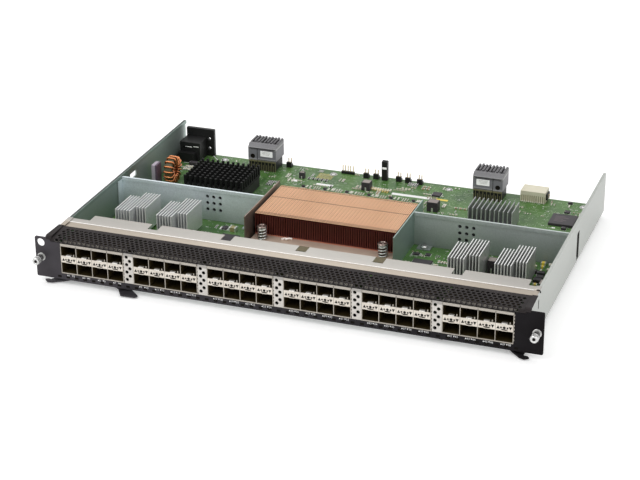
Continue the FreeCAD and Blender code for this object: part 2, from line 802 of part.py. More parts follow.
# A backplane connector: a grey hood with a sloped front edge, ribs across its top and a round pull hole
def backplane_connector(middle, hole_side):
    x0 = middle - backplane_width / 2
    x1 = middle + backplane_width / 2
    shoulder = backplane_top - backplane_slope
    profile = [(backplane_front, wafer_top), (backplane_front, shoulder),
               (backplane_front + backplane_slope, backplane_top),
               (backplane_rear, backplane_top), (backplane_rear, wafer_top)]
    hood = prism([Vector(x0, y, z) for y, z in profile], Vector(x1 - x0, 0, 0))
    groove = backplane_groove
    cuts = [rod(middle + hole_side * pull_hole_offset, backplane_front - 1, wafer_top + pull_hole_rise,
                pull_hole_radius, 2 * backplane_slope, Vector(0, 1, 0)),
            block(x0 + groove, x1 - groove, backplane_front - 1, backplane_front + 1,
                  shoulder - groove, shoulder - groove + backplane_groove_depth)]
    pitch = (backplane_width - 3 * groove) / (backplane_rib_count - 1)
    for number in range(backplane_rib_count):
        x = x0 + groove + number * pitch
        cuts.append(block(x, x + groove, backplane_front + 2 * backplane_slope, backplane_rear + 1,
                          backplane_top - backplane_groove_depth, backplane_top + 1))
    return hood.cut(Part.makeCompound(cuts))


# The black contact wafers below the grey hoods
def backplane_wafers():
    return [block(x - backplane_width / 2 + wafer_inset, x + backplane_width / 2 - 3 * wafer_inset,
                  backplane_front + wafer_inset, backplane_rear - wafer_inset, board_top, wafer_top)
            for x in (left_backplane_x, right_backplane_x)]


# The pale signal connector at the rear edge, ribbed along its front
signal_x = (132.0, 155.0)
signal_y = (card_depth - 13.5, card_depth + 2.0)
signal_top = 16.5
signal_grooves = 10
signal_pitch = 2.1
signal_groove = 0.9
signal_recess = (card_depth - 10.0, card_depth - 4.0, 8.0, 14.0)


def signal_connector():
    x0, x1 = signal_x
    body = block(x0, x1, *signal_y, board_top, signal_top)
    cuts = [block(x1 - 1.5, x1 + 1, *signal_recess)]
    for number in range(signal_grooves):
        x = x0 + (x1 - x0 - signal_groove) / 2 + (number - (signal_grooves - 1) / 2) * signal_pitch
        cuts.append(block(x, x + signal_groove, signal_y[0] - 1, signal_y[0] + 0.6, board_top + 1,
                          signal_top - 3.5))
    return body.cut(Part.makeCompound(cuts))


# Pin headers along the rear edge: (x, distance from the rear edge)
header_insets = [(-96.0, 3.5), (-37.4, 3.5), (-18.0, 5.2), (-8.5, 4.4), (13.5, 3.5), (22.5, 3.5),
                 (34.2, 4.0)]
header_pin_counts = [2, 5, 2, 2, 2, 2, 2]
header_places = [(x, card_depth - inset, count)
                 for (x, inset), count in zip(header_insets, header_pin_counts)]
pin_pitch = 2.54
header_base = 2.5
header_pin = 0.64
header_pin_length = 6.0


def header_bases():
    return board_parts([(x, y, pins * pin_pitch, header_base, header_base) for x, y, pins in header_places])


def header_pins():
    base = board_top + header_base
    solids = []
    for x, y, pins in header_places:
        for number in range(pins):
            left = x + (number - (pins - 1) / 2) * pin_pitch - header_pin / 2
            solids.append(block(left, left + header_pin, y - header_pin / 2, y + header_pin / 2,
                                base, base + header_pin_length))
    return solids


# An upright socket and the large memory chip: from and to, along X and then Y
debug_place = (-2.6, 2.8, card_depth - 8.5, card_depth - 4.0)
debug_top = 25.0
debug_wall = 1.2
debug_socket_depth = 10.0
memory_place = (wall_inner - 37.3, wall_inner - 15.0, card_depth - 57.5, card_depth - 35.3)


def debug_connector():
    x0, x1, y0, y1 = debug_place
    body = block(x0, x1, y0, y1, board_top, debug_top)
    return body.cut(block(x0 + debug_wall, x1 - debug_wall, y0 + debug_wall, y1 - debug_wall,
                          debug_top - debug_socket_depth, debug_top + 1))


def memory_chip():
    return block(*memory_place, board_top, board_top + chip_height)


# Inductors and smaller packages that stand up from the board: (x, y, width, depth, height)
inductor_places = [(63.0, 226.0, 10.0, 8.5, 9.0), (-9.0, card_depth - 33.0, 8.0, 8.0, 8.0),
                   (sum(port_sink_centres[2:]) / 2 - 3.2, 118.5, 7.0, 8.0, 12.0),
                   (-75.0, card_depth - 27.0, 5.0, 4.0, 6.0),
                   (wall_inner - 9.6, 100.0, 9.0, 9.0, 7.0), (wall_inner - 8.6, 84.0, 8.0, 8.0, 6.0),
                   (-170.0, 168.0, 9.0, 9.0, 10.0)]
package_places = [(56.5, card_depth - 25.5, 8.0, 8.0, 1.6), (-90.0, 112.0, 14.0, 10.0, 1.6),
                  (84.0, 118.0, 14.0, 10.0, 1.6), (-60.0, 205.0, 12.0, 12.0, 1.6),
                  (20.0, 205.0, 12.0, 12.0, 1.6)]


def board_parts(places):
    return [block(x - w / 2, x + w / 2, y - d / 2, y + d / 2, board_top, board_top + h)
            for x, y, w, d, h in places]


# A ferrule swaged into the ear: flange in front, collar behind and a barrel that houses the spring
def screw_ferrule(side):
    back = face_sheet + ferrule_collar
    inner = screw_radius + 2 * running_gap
    profile = [(-barrel_length, barrel_bore), (-barrel_length, barrel_radius),
               (-ferrule_flange_sheet, barrel_radius), (-ferrule_flange_sheet, ferrule_flange),
               (0, ferrule_flange), (0, barrel_radius + press_gap), (face_sheet, barrel_radius + press_gap),
               (face_sheet, barrel_radius + ferrule_collar), (back, barrel_radius + ferrule_collar),
               (back, inner), (ferrule_floor, inner), (ferrule_floor, barrel_bore)]
    return turned(profile, Vector(side * screw_x, 0, screw_z), Vector(0, 1, 0))


# The spring washer that the knob pushes, on the screw's shank
washer_front = -knob_front + knob_web + running_gap
washer_back = washer_front + washer_sheet


def spring_washer(side):
    profile = [(washer_front, screw_radius + running_gap), (washer_front, barrel_bore - running_gap),
               (washer_back, barrel_bore - running_gap), (washer_back, screw_radius + running_gap)]
    return turned(profile, Vector(side * screw_x, 0, screw_z), Vector(0, 1, 0))


# The spring between the washer and the ferrule's floor, as the sleeve that its turns fill
def screw_spring(side):
    inner = screw_radius + 2 * running_gap
    outer = barrel_bore - 2 * running_gap
    profile = [(washer_back, inner), (washer_back, outer), (ferrule_floor, outer), (ferrule_floor, inner)]
    return turned(profile, Vector(side * screw_x, 0, screw_z), Vector(0, 1, 0))


# The thumbscrew: a grooved knob over the barrel, a drive recess, the shank, its shoulder and the thread
def thumbscrew(side):
    front = -knob_front
    skirt = front + knob_length
    bore_end = front + knob_web
    grooved = knob_radius - groove_depth
    shoulder = face_sheet + ferrule_collar + shoulder_gap
    shoulder_end = shoulder + ferrule_collar
    chamfer = groove_depth
    profile = [(front, 0), (front, grooved - shoulder_rise), (front + shoulder_rise, grooved),
               (front + 1.6, grooved), (front + 1.6, knob_radius), (front + 3.4, knob_radius),
               (front + 3.4, grooved), (front + 4.2, grooved), (front + 4.2, knob_radius),
               (skirt, knob_radius), (skirt, knob_bore), (bore_end, knob_bore), (bore_end, screw_radius),
               (shoulder, screw_radius), (shoulder, screw_radius + shoulder_rise),
               (shoulder_end, screw_radius + shoulder_rise), (shoulder_end, screw_radius),
               (screw_tip - chamfer, screw_radius), (screw_tip, screw_radius - chamfer), (screw_tip, 0)]
    centre = Vector(side * screw_x, 0, screw_z)
    screw = turned(profile, centre, Vector(0, 1, 0))
    half = drive_width / 2
    drive = [block(centre.x - across, centre.x + across, front - 1, front + drive_depth,
                   screw_z - high, screw_z + high)
             for across, high in ((drive_arm, half), (half, drive_arm))]
    return screw.cut(Part.makeCompound(drive))


# The outline of an ejector lever about its pivot, for the left side: claw, hub, arm and finger grip
lever_outline = [(-6.4, 2.6), (-3.2, 5.8), (2.0, 6.5), (48.0, 4.2), (62.5, -7.2), (73.0, -16.8),
                 (71.2, -19.2), (58.4, -19.6), (51.0, -8.4), (45.0, -4.8), (6.0, -6.2), (1.5, -10.0),
                 (-3.0, -12.6),
                 (-7.0, -15.2), (-11.6, -15.8), (-14.6, -12.8), (-12.6, -11.6), (-9.6, -11.8), (-8.0, -8.4)]


def ejector_lever(side):
    top = -lever_gap
    corners = [Vector(x, y, top - lever_sheet) for x, y in lever_outline]
    plate = prism(corners, Vector(0, 0, lever_sheet))
    plate = plate.cut(rod(0, 0, top - lever_sheet - 1, pivot_radius + running_gap / 2, lever_sheet + 2))
    if side > 0:
        plate = plate.mirror(Vector(0, 0, 0), Vector(1, 0, 0))
        plate.rotate(Vector(0, 0, 0), Vector(0, 0, 1), -right_lever_closed)
    plate.translate(pivot_at(side))
    return plate


# The shouldered rivets that the levers turn on, upset above the tray's floor
def ejector_pivots():
    head = -lever_gap - lever_sheet - running_gap
    collar = -lever_gap + running_gap
    end = tray_sheet + rivet_upset_height
    profile = [(head - rivet_head_height, 0), (head - rivet_head_height, rivet_upset), (head, rivet_head),
               (head, pivot_radius), (collar, pivot_radius), (collar, rivet_head), (0, rivet_head),
               (0, pivot_radius), (tray_sheet, pivot_radius), (tray_sheet, rivet_upset), (end, rivet_upset),
               (end, 0)]
    return [turned(profile, pivot_at(side), Vector(0, 0, 1)) for side in (-1, 1)]


save("chassis_tray", chassis_tray())
save("front_bezel", front_bezel())
save("top_grille", top_grille())
save("port_shroud", port_shroud())
for index in range(cage_count):
    save("port_cage_" + str(index + 1), port_cage(cage_x(index)))
save("port_connectors", port_connectors())
save("vent_strips", vent_strips())
save("main_board", main_board())
save("board_standoffs", board_standoffs())
save("board_screws", board_screws())
save("left_partition", partition(-1, left_partition_y))
save("right_partition", partition(1, right_partition_y))
save("foot_screws", foot_screws())
save("left_air_guide", air_guide(-1))
save("right_air_guide", air_guide(1))
save("heatsink_base", heatsink_base())
save("heatsink_fins", heatsink_fins())
save("heatsink_screws", heatsink_screws())
save("heatsink_springs", heatsink_springs())
save("switch_chip", switch_chip())
for index, x in enumerate(port_sink_centres):
    save("port_heatsink_" + str(index + 1), port_heatsink(x))
save("processor_heatsink", processor_heatsink())
save("heatsink_push_pins", heatsink_push_pins())
save("cooled_chips", cooled_chips())
save("power_module", power_module())
save("pin_fin_heatsink", pin_fin_heatsink())
save("choke_core", choke_core())
save("choke_winding", choke_winding())
save("filter_capacitor", filter_capacitor())
save("power_connector", power_connector())
save("left_backplane_connector", backplane_connector(left_backplane_x, -1))
save("right_backplane_connector", backplane_connector(right_backplane_x, 1))
save("backplane_wafers", backplane_wafers())
save("signal_connector", signal_connector())
save("header_bases", header_bases())
save("header_pins", header_pins())
save("debug_connector", debug_connector())
save("memory_chip", memory_chip())
save("inductors", board_parts(inductor_places))
save("small_packages", board_parts(package_places))
for name, side in (("left", -1), ("right", 1)):
    save(name + "_screw_ferrule", screw_ferrule(side))
    save(name + "_spring_washer", spring_washer(side))
    save(name + "_screw_spring", screw_spring(side))
    save(name + "_thumbscrew", thumbscrew(side))
    save(name + "_ejector_lever", ejector_lever(side))
save("ejector_pivots", ejector_pivots())
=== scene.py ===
# %% [markdown]
# This lesson dresses a network line card. The rigid parts come from CAD as a fixed frame, and each new
# piece is worked out with numpy in millimetres and placed from the frame's own boxes.
# %% The frame and the card's main sizes
import json
import math
import bmesh
import bpy
import numpy as np
from mathutils import Matrix, Vector


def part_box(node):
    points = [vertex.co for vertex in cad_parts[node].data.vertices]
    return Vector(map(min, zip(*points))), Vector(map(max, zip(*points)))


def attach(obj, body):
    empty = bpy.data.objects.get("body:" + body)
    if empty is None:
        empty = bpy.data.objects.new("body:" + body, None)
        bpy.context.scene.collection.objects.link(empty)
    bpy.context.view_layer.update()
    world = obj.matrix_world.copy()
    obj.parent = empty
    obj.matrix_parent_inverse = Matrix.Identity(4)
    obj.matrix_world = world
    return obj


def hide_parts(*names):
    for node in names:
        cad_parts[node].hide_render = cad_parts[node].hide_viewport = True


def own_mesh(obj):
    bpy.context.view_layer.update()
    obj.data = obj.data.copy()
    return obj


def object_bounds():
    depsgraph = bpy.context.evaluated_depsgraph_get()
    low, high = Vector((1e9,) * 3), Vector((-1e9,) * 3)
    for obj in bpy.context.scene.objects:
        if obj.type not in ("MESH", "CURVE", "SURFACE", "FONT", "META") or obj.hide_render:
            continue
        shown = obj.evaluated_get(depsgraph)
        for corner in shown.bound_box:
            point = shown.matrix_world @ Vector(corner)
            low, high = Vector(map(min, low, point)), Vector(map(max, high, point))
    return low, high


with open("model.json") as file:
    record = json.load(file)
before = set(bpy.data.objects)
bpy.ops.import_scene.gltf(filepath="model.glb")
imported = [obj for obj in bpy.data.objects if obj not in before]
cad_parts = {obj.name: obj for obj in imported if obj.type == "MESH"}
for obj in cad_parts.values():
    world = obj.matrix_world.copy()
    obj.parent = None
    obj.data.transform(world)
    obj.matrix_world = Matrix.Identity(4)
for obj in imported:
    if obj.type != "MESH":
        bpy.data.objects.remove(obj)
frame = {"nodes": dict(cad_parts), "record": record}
cad_box = [list(corner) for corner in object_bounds()]
MM = 0.001
CARD = "card"
SIDES = ("left", "right")


def span(name):
    """The lowest and highest corner of a CAD node, in millimetres."""
    return np.array(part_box(name)) * 1000


tray_low, tray_high = span("chassis_tray")
board_low, board_high = span("main_board")
BOARD_TOP = board_high[2]
rng = np.random.default_rng(7)
print("tray", tray_low.round(1), tray_high.round(1), "board top", BOARD_TOP)

# %% [markdown]
# Every piece below is a grid of points or a repeated template. Points are whole arrays, and a face is a
# row of point numbers, so one small set of helpers builds the grille, the coils and the board's parts.
# %% Helpers that join arrays into a mesh


def grid(points, wrap_u=False, wrap_v=False):
    """Quads between the neighbours of a (rows, columns, 3) grid; a wrapped direction closes on itself."""
    rows, columns = points.shape[:2]
    u = np.arange(rows if wrap_u else rows - 1)[:, None]
    v = np.arange(columns if wrap_v else columns - 1)[None]
    this, after, nv = u * columns, (u + 1) % rows * columns, (v + 1) % columns
    return points.reshape(-1, 3), stacked(this + v, after + v, after + nv, this + nv)


def stacked(*columns):
    """Rows of numbers from single numbers and arrays, stretched to one common shape."""
    return np.stack(np.broadcast_arrays(*columns), -1).reshape(-1, len(columns))


def together(shapes):
    """One (points, faces) pair from several, each with its faces renumbered."""
    starts = np.cumsum([0] + [len(points) for points, _ in shapes[:-1]])
    return (np.concatenate([points for points, _ in shapes]),
            np.concatenate([faces + start for (_, faces), start in zip(shapes, starts)]))


def repeated(shape, places):
    """Copies of a template: each point plus the copy's place."""
    points, faces = shape
    places = np.asarray(places, float).reshape(-1, 3)
    numbers = faces[None] + (np.arange(len(places)) * len(points))[:, None, None]
    return (points[None] + places[:, None]).reshape(-1, 3), numbers.reshape(-1, faces.shape[1])


def publish(name, shape, material, body=CARD, replaces=(), smooth=None, weld=True):
    """Makes the mesh in metres, welds it, turns its faces outwards and lets it ride on a CAD body."""
    points, faces = shape
    mesh = bpy.data.meshes.new(name)
    mesh.from_pydata((points * MM).tolist(), [], faces.tolist())
    if weld:
        work = bmesh.new()
        work.from_mesh(mesh)
        bmesh.ops.remove_doubles(work, verts=work.verts, dist=2e-7)
        bmesh.ops.dissolve_degenerate(work, edges=work.edges, dist=1e-7)
        bmesh.ops.recalc_face_normals(work, faces=work.faces)
        work.to_mesh(mesh)
        work.free()
    if smooth:
        mesh.shade_smooth()
        mesh.set_sharp_from_angle(angle=math.radians(smooth))
    mesh.materials.append(material)
    piece = bpy.data.objects.new(name, mesh)
    bpy.context.scene.collection.objects.link(piece)
    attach(piece, body)
    if replaces:
        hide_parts(*replaces)
    print(name, len(mesh.polygons), "faces")
    return piece


# %% [markdown]
# Most forms on a card are blocks with a small broken edge, turned parts and bent wire. A block's top gets
# a chamfer, because a sharp edge catches no light. A turned part carries a profile round an axis, and a
# wire carries a circle along a path.
# %% Blocks, turned parts and wires


def blocks(rows, chamfer=0.15):
    """Boxes from rows of lowest x, y, z and highest x, y, z: stacked rectangles, the last one narrower."""
    rows = np.asarray(rows, float).reshape(-1, 6)
    low, high = rows[:, :3], rows[:, 3:]
    cut = np.minimum(chamfer, 0.3 * (high - low).min(1))[:, None]
    corner = np.array([[0, 0], [1, 0], [1, 1], [0, 1]])
    middle, rings = 0 * corner + 0.5, []
    for share, inset, level in ((middle, 0, 0), (corner, 0, 0), (corner, 0, 1), (corner, 1, 2),
                                (middle, 1, 2)):
        a, b = low[:, :2] + inset * cut, high[:, :2] - inset * cut
        z = high[:, 2:] - (2 - level) * cut if level else low[:, 2:]
        rings.append(np.dstack([a[:, None] + share * (b - a)[:, None], np.repeat(z, 4, 1)]))
    template = grid(np.zeros((5, 4, 3)), wrap_v=True)[1][:, ::-1]
    numbers = template[None] + (np.arange(len(low)) * 20)[:, None, None]
    return np.stack(rings, 1).reshape(-1, 3), numbers.reshape(-1, 4)


def turned(profile, sides=24, ripple=0):
    """A profile of (radius, height) carried round Z; ripple is how deep a knurl cuts at each point."""
    radius, height = np.asarray(profile, float).T
    number = np.arange(sides)
    angle = number * 2 * np.pi / sides
    radius = radius[:, None] - np.reshape(ripple, (-1, 1)) * (number % 2)
    rings = [radius * np.cos(angle), radius * np.sin(angle), 0 * radius + height[:, None]]
    return grid(np.dstack(rings), wrap_v=True)


def lofted(loops, axis):
    """Quads between flat closed loops, each put at its own depth along an axis."""
    return grid(np.array([np.insert(flat, axis, depth, 1) for flat, depth in loops]), wrap_v=True)


def unit(vectors):
    """Vectors over their own lengths."""
    return vectors / np.linalg.norm(vectors, axis=-1, keepdims=True)


def wire(path, radius, sides=8, closed=False):
    """A circle carried along a path. Its two directions are the path's tangent crossed with a fixed lead."""
    path = np.asarray(path, float)
    tangent = unit(np.roll(path, -1, 0) - np.roll(path, 1, 0) if closed else np.gradient(path, axis=0))
    lead = [0.31, 0.17, 0.94] if np.abs(tangent[:, 2]).mean() < 0.7 else [0.94, 0.17, 0.31]
    across = unit(np.cross(tangent, lead))
    up = np.cross(across, tangent)
    angle = np.arange(sides)[:, None] * 2 * np.pi / sides
    points = path[:, None] + radius * (np.cos(angle) * across[:, None] + np.sin(angle) * up[:, None])
    if not closed:
        ends = np.repeat(path[[0, -1], None], sides, 1)
        points = np.concatenate([ends[:1], points, ends[1:]])
    return grid(points, wrap_u=closed, wrap_v=True)


def coil(radius, wire_radius, low, high, turns, steps=14):
    """A compression spring about Z: the helix is flat for three quarters of a turn at each end."""
    angle = np.linspace(0, turns * 2 * np.pi, int(turns * steps) + 1)
    share = np.clip((angle / (2 * np.pi) - 0.75) / (turns - 1.5), 0, 1)
    height = low + wire_radius + share * (high - low - 2 * wire_radius)
    return wire(stacked(radius * np.cos(angle), radius * np.sin(angle), height), wire_radius)


def laid(shape, centre):
    """Turns a Z-axis shape so that its axis runs along Y, and moves it to a centre."""
    x, y, z = shape[0].T
    return stacked(x, z, -y) + np.asarray(centre, float), shape[1]


# %% [markdown]
# Real surfaces are never one flat colour. Each finish here mixes two tones with noise in the piece's own
# Object coordinates, lets a second noise move the roughness, and adds a fine bump. Stretching the noise
# along one axis gives rolled sheet its grain, so a single recipe covers steel, plastic and copper.
# %% A recipe for finishes


def plug(tree, socket, value):
    """Links another node's output to a socket, or sets the socket; None leaves it alone."""
    if isinstance(value, bpy.types.NodeSocket):
        tree.links.new(value, socket)
    elif value is not None:
        socket.default_value = value


def node(tree, kind, *inputs, **settings):
    """Adds a node, fills its inputs in their order and returns its outputs."""
    made = tree.nodes.new("ShaderNode" + kind)
    for key, value in settings.items():
        setattr(made, key, value)
    for socket, value in zip(made.inputs, inputs):
        plug(tree, socket, value)
    return made.outputs


def maths(tree, operation, *inputs):
    """One sum, product or test on numbers."""
    return node(tree, "Math", *inputs, operation=operation)[0]


def ranged(tree, value, *limits):
    """A number carried from one range to another, which is 0 to 1 if it isn't given."""
    return node(tree, "MapRange", value, *limits)[0]


def mixed(tree, share, first, second):
    """The tone at a share of the way from the first to the second, which is (red, green, blue)."""
    first = first if isinstance(first, bpy.types.NodeSocket) else (*first, 1)
    return node(tree, "Mix", share, *[None] * 5, first, (*second, 1), data_type="RGBA")[2]


def bumped(tree, height, strength, distance):
    """A normal that leans with the slope of a height."""
    relief = tree.nodes.new("ShaderNodeBump")
    for name, value in (("Strength", strength), ("Distance", distance), ("Height", height)):
        plug(tree, relief.inputs[name], value)
    return relief.outputs[0]


def fresh(name):
    """A new material with its node tree, a function that fills its shader's sockets, and its position."""
    material = bpy.data.materials.new(name)
    material.use_nodes = True
    tree = material.node_tree
    return material, tree, filler(tree), node(tree, "TexCoord")["Object"]


def filler(tree):
    """A function that plugs values into the main shader's sockets, named with _ for a space."""
    sockets = {socket.name.replace(" ", "_"): socket for socket in tree.nodes["Principled BSDF"].inputs}

    def fill(**values):
        """Plugs each value into the socket of its name."""
        for name, value in values.items():
            plug(tree, sockets[name], value)

    return fill


def finish(name, dark, pale, rough, metal=0.0, grain=1500, stretch=(1, 1, 1), bump=0.01, patch=40, coat=0.0,
           specular=0.5):
    """Two tones mixed by patchy and fine noise, with the fine noise in the roughness and the bump too."""
    material, tree, fill, here = fresh(name)
    where = node(tree, "Mapping", here, None, None, stretch)[0]
    fine, broad = (node(tree, "TexNoise", where, None, *sizes)[0] for sizes in ((grain, 3.0), (patch, 2.0)))
    share = ranged(tree, maths(tree, "ADD", fine, broad), 0.6, 1.4)
    fill(Base_Color=mixed(tree, share, dark, pale), Roughness=ranged(tree, fine, 0.3, 0.7, *rough),
         Normal=bumped(tree, fine, min(1.0, bump * 10), 0.0001), Metallic=metal, Specular_IOR_Level=specular)
    if coat:
        fill(Coat_Weight=coat, Coat_Roughness=0.15)
    return material


# %% [markdown]
# The whole card uses a few real finishes: zinc-plated and bare sheet, black powder coat, nickel, copper,
# bare and anodised aluminium, moulded plastics and gold. Each CAD node takes the finish of its slot.
# %% The finishes of the CAD nodes
zinc = finish("zinc_plated_sheet", (0.43, 0.455, 0.445), (0.59, 0.615, 0.60), (0.34, 0.48), metal=0.75,
              grain=900, stretch=(1, 0.25, 1), patch=18)
bare_sheet = finish("bare_satin_sheet", (0.56, 0.53, 0.49), (0.68, 0.65, 0.61), (0.34, 0.46), metal=0.6,
                    stretch=(0.15, 1, 1), bump=0.008, patch=25)
powder_coat = finish("black_powder_coat", (0.018, 0.0165, 0.019), (0.034, 0.032, 0.037), (0.45, 0.6),
                     grain=2500, bump=0.05, patch=60, specular=0.3)
nickel_cage = finish("nickel_spring_sheet", (0.62, 0.565, 0.49), (0.80, 0.745, 0.665), (0.30, 0.44),
                     metal=0.55, grain=1200, bump=0.008, patch=90)
copper = finish("bare_copper_sheet", (0.75, 0.425, 0.24), (0.90, 0.545, 0.335), (0.38, 0.52), metal=0.6,
                grain=1400, stretch=(1, 0.12, 1), patch=30)
bare_aluminium = finish("bare_aluminium", (0.62, 0.63, 0.62), (0.78, 0.79, 0.78), (0.30, 0.44), metal=0.7,
                        grain=1100, stretch=(1, 0.2, 1))
black_aluminium = finish("black_anodised", (0.005,) * 3, (0.012,) * 3, (0.5, 0.62), bump=0.02, specular=0.2)
black_plastic = finish("moulded_black", (0.008,) * 3, (0.018,) * 3, (0.4, 0.55), grain=1800, bump=0.02,
                       specular=0.3)
grey_plastic = finish("moulded_grey", (0.30, 0.295, 0.31), (0.42, 0.415, 0.43), (0.4, 0.52), grain=1800,
                      bump=0.02)
ivory_plastic = finish("moulded_ivory", (0.66, 0.62, 0.46), (0.76, 0.72, 0.58), (0.42, 0.55), bump=0.02)
chip_black = finish("chip_package", (0.030, 0.026, 0.030), (0.055, 0.048, 0.054), (0.45, 0.6), grain=3000,
                    bump=0.03, specular=0.35)
ferrite = finish("coated_ferrite", (0.055, 0.05, 0.02), (0.12, 0.11, 0.05), (0.5, 0.65), grain=2000,
                 bump=0.06)
enamel = finish("enamelled_wire", (0.50, 0.155, 0.045), (0.74, 0.28, 0.09), (0.18, 0.3), metal=0.75,
                grain=800, coat=0.6)
film_box = finish("film_box", (0.42, 0.37, 0.43), (0.56, 0.50, 0.57), (0.25, 0.4), grain=900)
nickel = finish("turned_nickel", (0.36, 0.36, 0.35), (0.56, 0.56, 0.55), (0.2, 0.32), metal=0.9, grain=2200,
                stretch=(1, 1, 0.1))
spring_steel = finish("spring_wire", (0.55, 0.55, 0.53), (0.74, 0.74, 0.72), (0.22, 0.34), metal=0.9,
                      grain=1600)
gold = finish("gold_plate", (0.78, 0.55, 0.18), (0.92, 0.72, 0.32), (0.22, 0.34), metal=0.85, grain=1800)
tin = finish("tinned_end", (0.62, 0.62, 0.60), (0.80, 0.80, 0.78), (0.3, 0.45), metal=0.8, grain=1800)
print(len(bpy.data.materials), "finishes so far")

# %% [markdown]
# A board's colour is copper under green lacquer. Where there is copper the green is paler, so the finish
# lays straight tracks in two directions over a mottled ground, all in Object coordinates.
# %% The green board


def lane(tree, position, pitch, share):
    """1 on stripes across an axis: the fraction of the position over the pitch is below a share."""
    return maths(tree, "LESS_THAN", maths(tree, "FRACT", maths(tree, "MULTIPLY", position, 1 / pitch)), share)


def board_finish():
    """Ground tone, plus tracks where a coarse cell pattern asks for lengthwise or crosswise lanes."""
    material, tree, fill, here = fresh("green_board")
    x, y, _ = node(tree, "SeparateXYZ", here)
    ground = node(tree, "TexNoise", here, None, 45.0, 4.0)[0]
    cells = node(tree, "TexVoronoi", here, None, 55.0, distance="MANHATTAN")["Color"]
    pick = node(tree, "SeparateColor", cells)[0]
    along = maths(tree, "MULTIPLY", lane(tree, x, 0.0011, 0.42), maths(tree, "GREATER_THAN", pick, 0.62))
    cross = maths(tree, "MULTIPLY", lane(tree, y, 0.0013, 0.4), maths(tree, "LESS_THAN", pick, 0.30))
    tracks = maths(tree, "MAXIMUM", along, cross)
    base = mixed(tree, ranged(tree, ground, 0.35, 0.65), (0.036, 0.100, 0.022), (0.072, 0.168, 0.038))
    lacquer = mixed(tree, maths(tree, "MULTIPLY", tracks, 0.55), base, (0.13, 0.26, 0.07))
    fill(Base_Color=lacquer, Normal=bumped(tree, tracks, 0.4, 0.00004), Specular_IOR_Level=0.3,
         Roughness=ranged(tree, ground, 0.3, 0.7, 0.28, 0.42))
    return material


green_board = board_finish()
print(green_board.name, len(green_board.node_tree.nodes), "nodes")

# %% [markdown]
# On the real card the light falls off along each sheet, and it bounces green and copper tones about. A ramp
# along an axis paints that light and shade into a finish: it multiplies the finish's colour, and it holds
# from every side.
# %% Finishes with painted light ramps


def copy_of(base, name):
    """A copy of a finish: material, tree, filler, the socket of its colour, and its x, y and z."""
    material = base.copy()
    material.name = name
    tree = material.node_tree
    colour = tree.nodes["Principled BSDF"].inputs["Base Color"].links[0].from_socket
    return material, tree, filler(tree), colour, node(tree, "SeparateXYZ", node(tree, "TexCoord")["Object"])


def graded(base, name, axis, low, high, stops, shine=None):
    """A copy of a finish whose colour, and its shine if asked, follows a ramp of painted light and shade
    along an axis.
    """
    material, tree, fill, colour, here = copy_of(base, name)
    way = ranged(tree, here[axis], low, high)
    ramp = tree.nodes.new("ShaderNodeValToRGB")
    plug(tree, ramp.inputs[0], way)
    elements = ramp.color_ramp.elements
    elements[1].position = stops[-1][0]
    for position, _ in stops[1:-1]:
        elements.new(position)
    for element, (position, tone) in zip(sorted(elements, key=lambda e: e.position), stops):
        element.position = position
        element.color = (*tone, 1) if isinstance(tone, tuple) else (tone, tone, tone, 1)
    fill(Base_Color=node(tree, "VectorMath", colour, ramp.outputs[0], operation="MULTIPLY")[0])
    if shine:
        fill(Specular_IOR_Level=ranged(tree, way, 0, 1, *shine))
    return material


# Painted light on the shroud: a warmer tone in front of the step, a bright band that paints the highlight on
# the step's bend, a dimmer rear, and a ramp across X that paints the light falling off towards both ends.
shroud_sheet = graded(bare_sheet, "shroud_sheet", 1, 0.0238, 0.0505, [
    (0.0, (0.95, 0.87, 0.77)), (0.10, (0.90, 0.82, 0.72)), (0.325, (0.90, 0.83, 0.74)),
    (0.345, (1.12, 1.08, 1.03)), (0.367, (1.12, 1.08, 1.03)), (0.39, (0.95, 0.945, 0.935)),
    (0.6, (0.86, 0.865, 0.86)), (1.0, (0.80, 0.80, 0.78))])
shroud_sheet = graded(shroud_sheet, "shroud_sheet_across", 0, -0.204, 0.204, [
    (0.0, 0.82), (0.11, 0.86), (0.29, 0.95), (0.5, 1.02), (0.76, 0.90), (0.95, 0.74)])
# Painted reflection on the front: the black coat is lighter and shinier at the left end, and darker and
# duller towards the right, as the sheen of the light falls off.
face_coat_painted_sheen = graded(powder_coat, "front_powder_coat", 0, -0.2188, 0.2188, [
    (0.0, (1.40, 1.30, 1.36)), (0.2, (1.15, 1.10, 1.13)), (0.6, (0.85, 0.83, 0.85)),
    (0.93, (0.55, 0.53, 0.52)), (1.0, (0.45, 0.43, 0.41))], shine=(0.36, 0.04))
# Painted light on the tray: a pale line at the left edge, a green cast on the left wall where the board's
# light reflects, and a dimmer right wall.
tray_zinc = graded(zinc, "tray_zinc", 0, -0.2068, 0.2068, [
    (0.0, (0.92, 0.93, 0.91)), (0.0022, (0.53, 0.64, 0.60)), (0.03, (0.53, 0.64, 0.60)), (0.05, 1.0),
    (0.95, 1.0), (0.97, (0.86, 0.85, 0.82)), (1.0, (0.86, 0.85, 0.82))])
# Painted light on the partitions: brighter and bluer towards the left, and painted shade that darkens them
# towards the bottom.
partition_zinc = graded(zinc, "partition_zinc", 0, -0.2058, 0.2058, [
    (0.0, (1.45, 1.53, 1.63)), (0.2, (1.45, 1.53, 1.62)), (0.33, (1.32, 1.40, 1.46)),
    (0.5, (1.0, 1.04, 1.04)), (1.0, (0.88, 0.93, 0.93))])
partition_zinc = graded(partition_zinc, "partition_zinc_upwards", 2, 0.007, 0.038, [
    (0.0, (0.60, 0.62, 0.60)), (0.4, (0.84, 0.85, 0.84)), (0.75, (1.04, 1.04, 1.05)), (1.0, 1.06)])
filler(partition_zinc.node_tree)(Metallic=0.45)
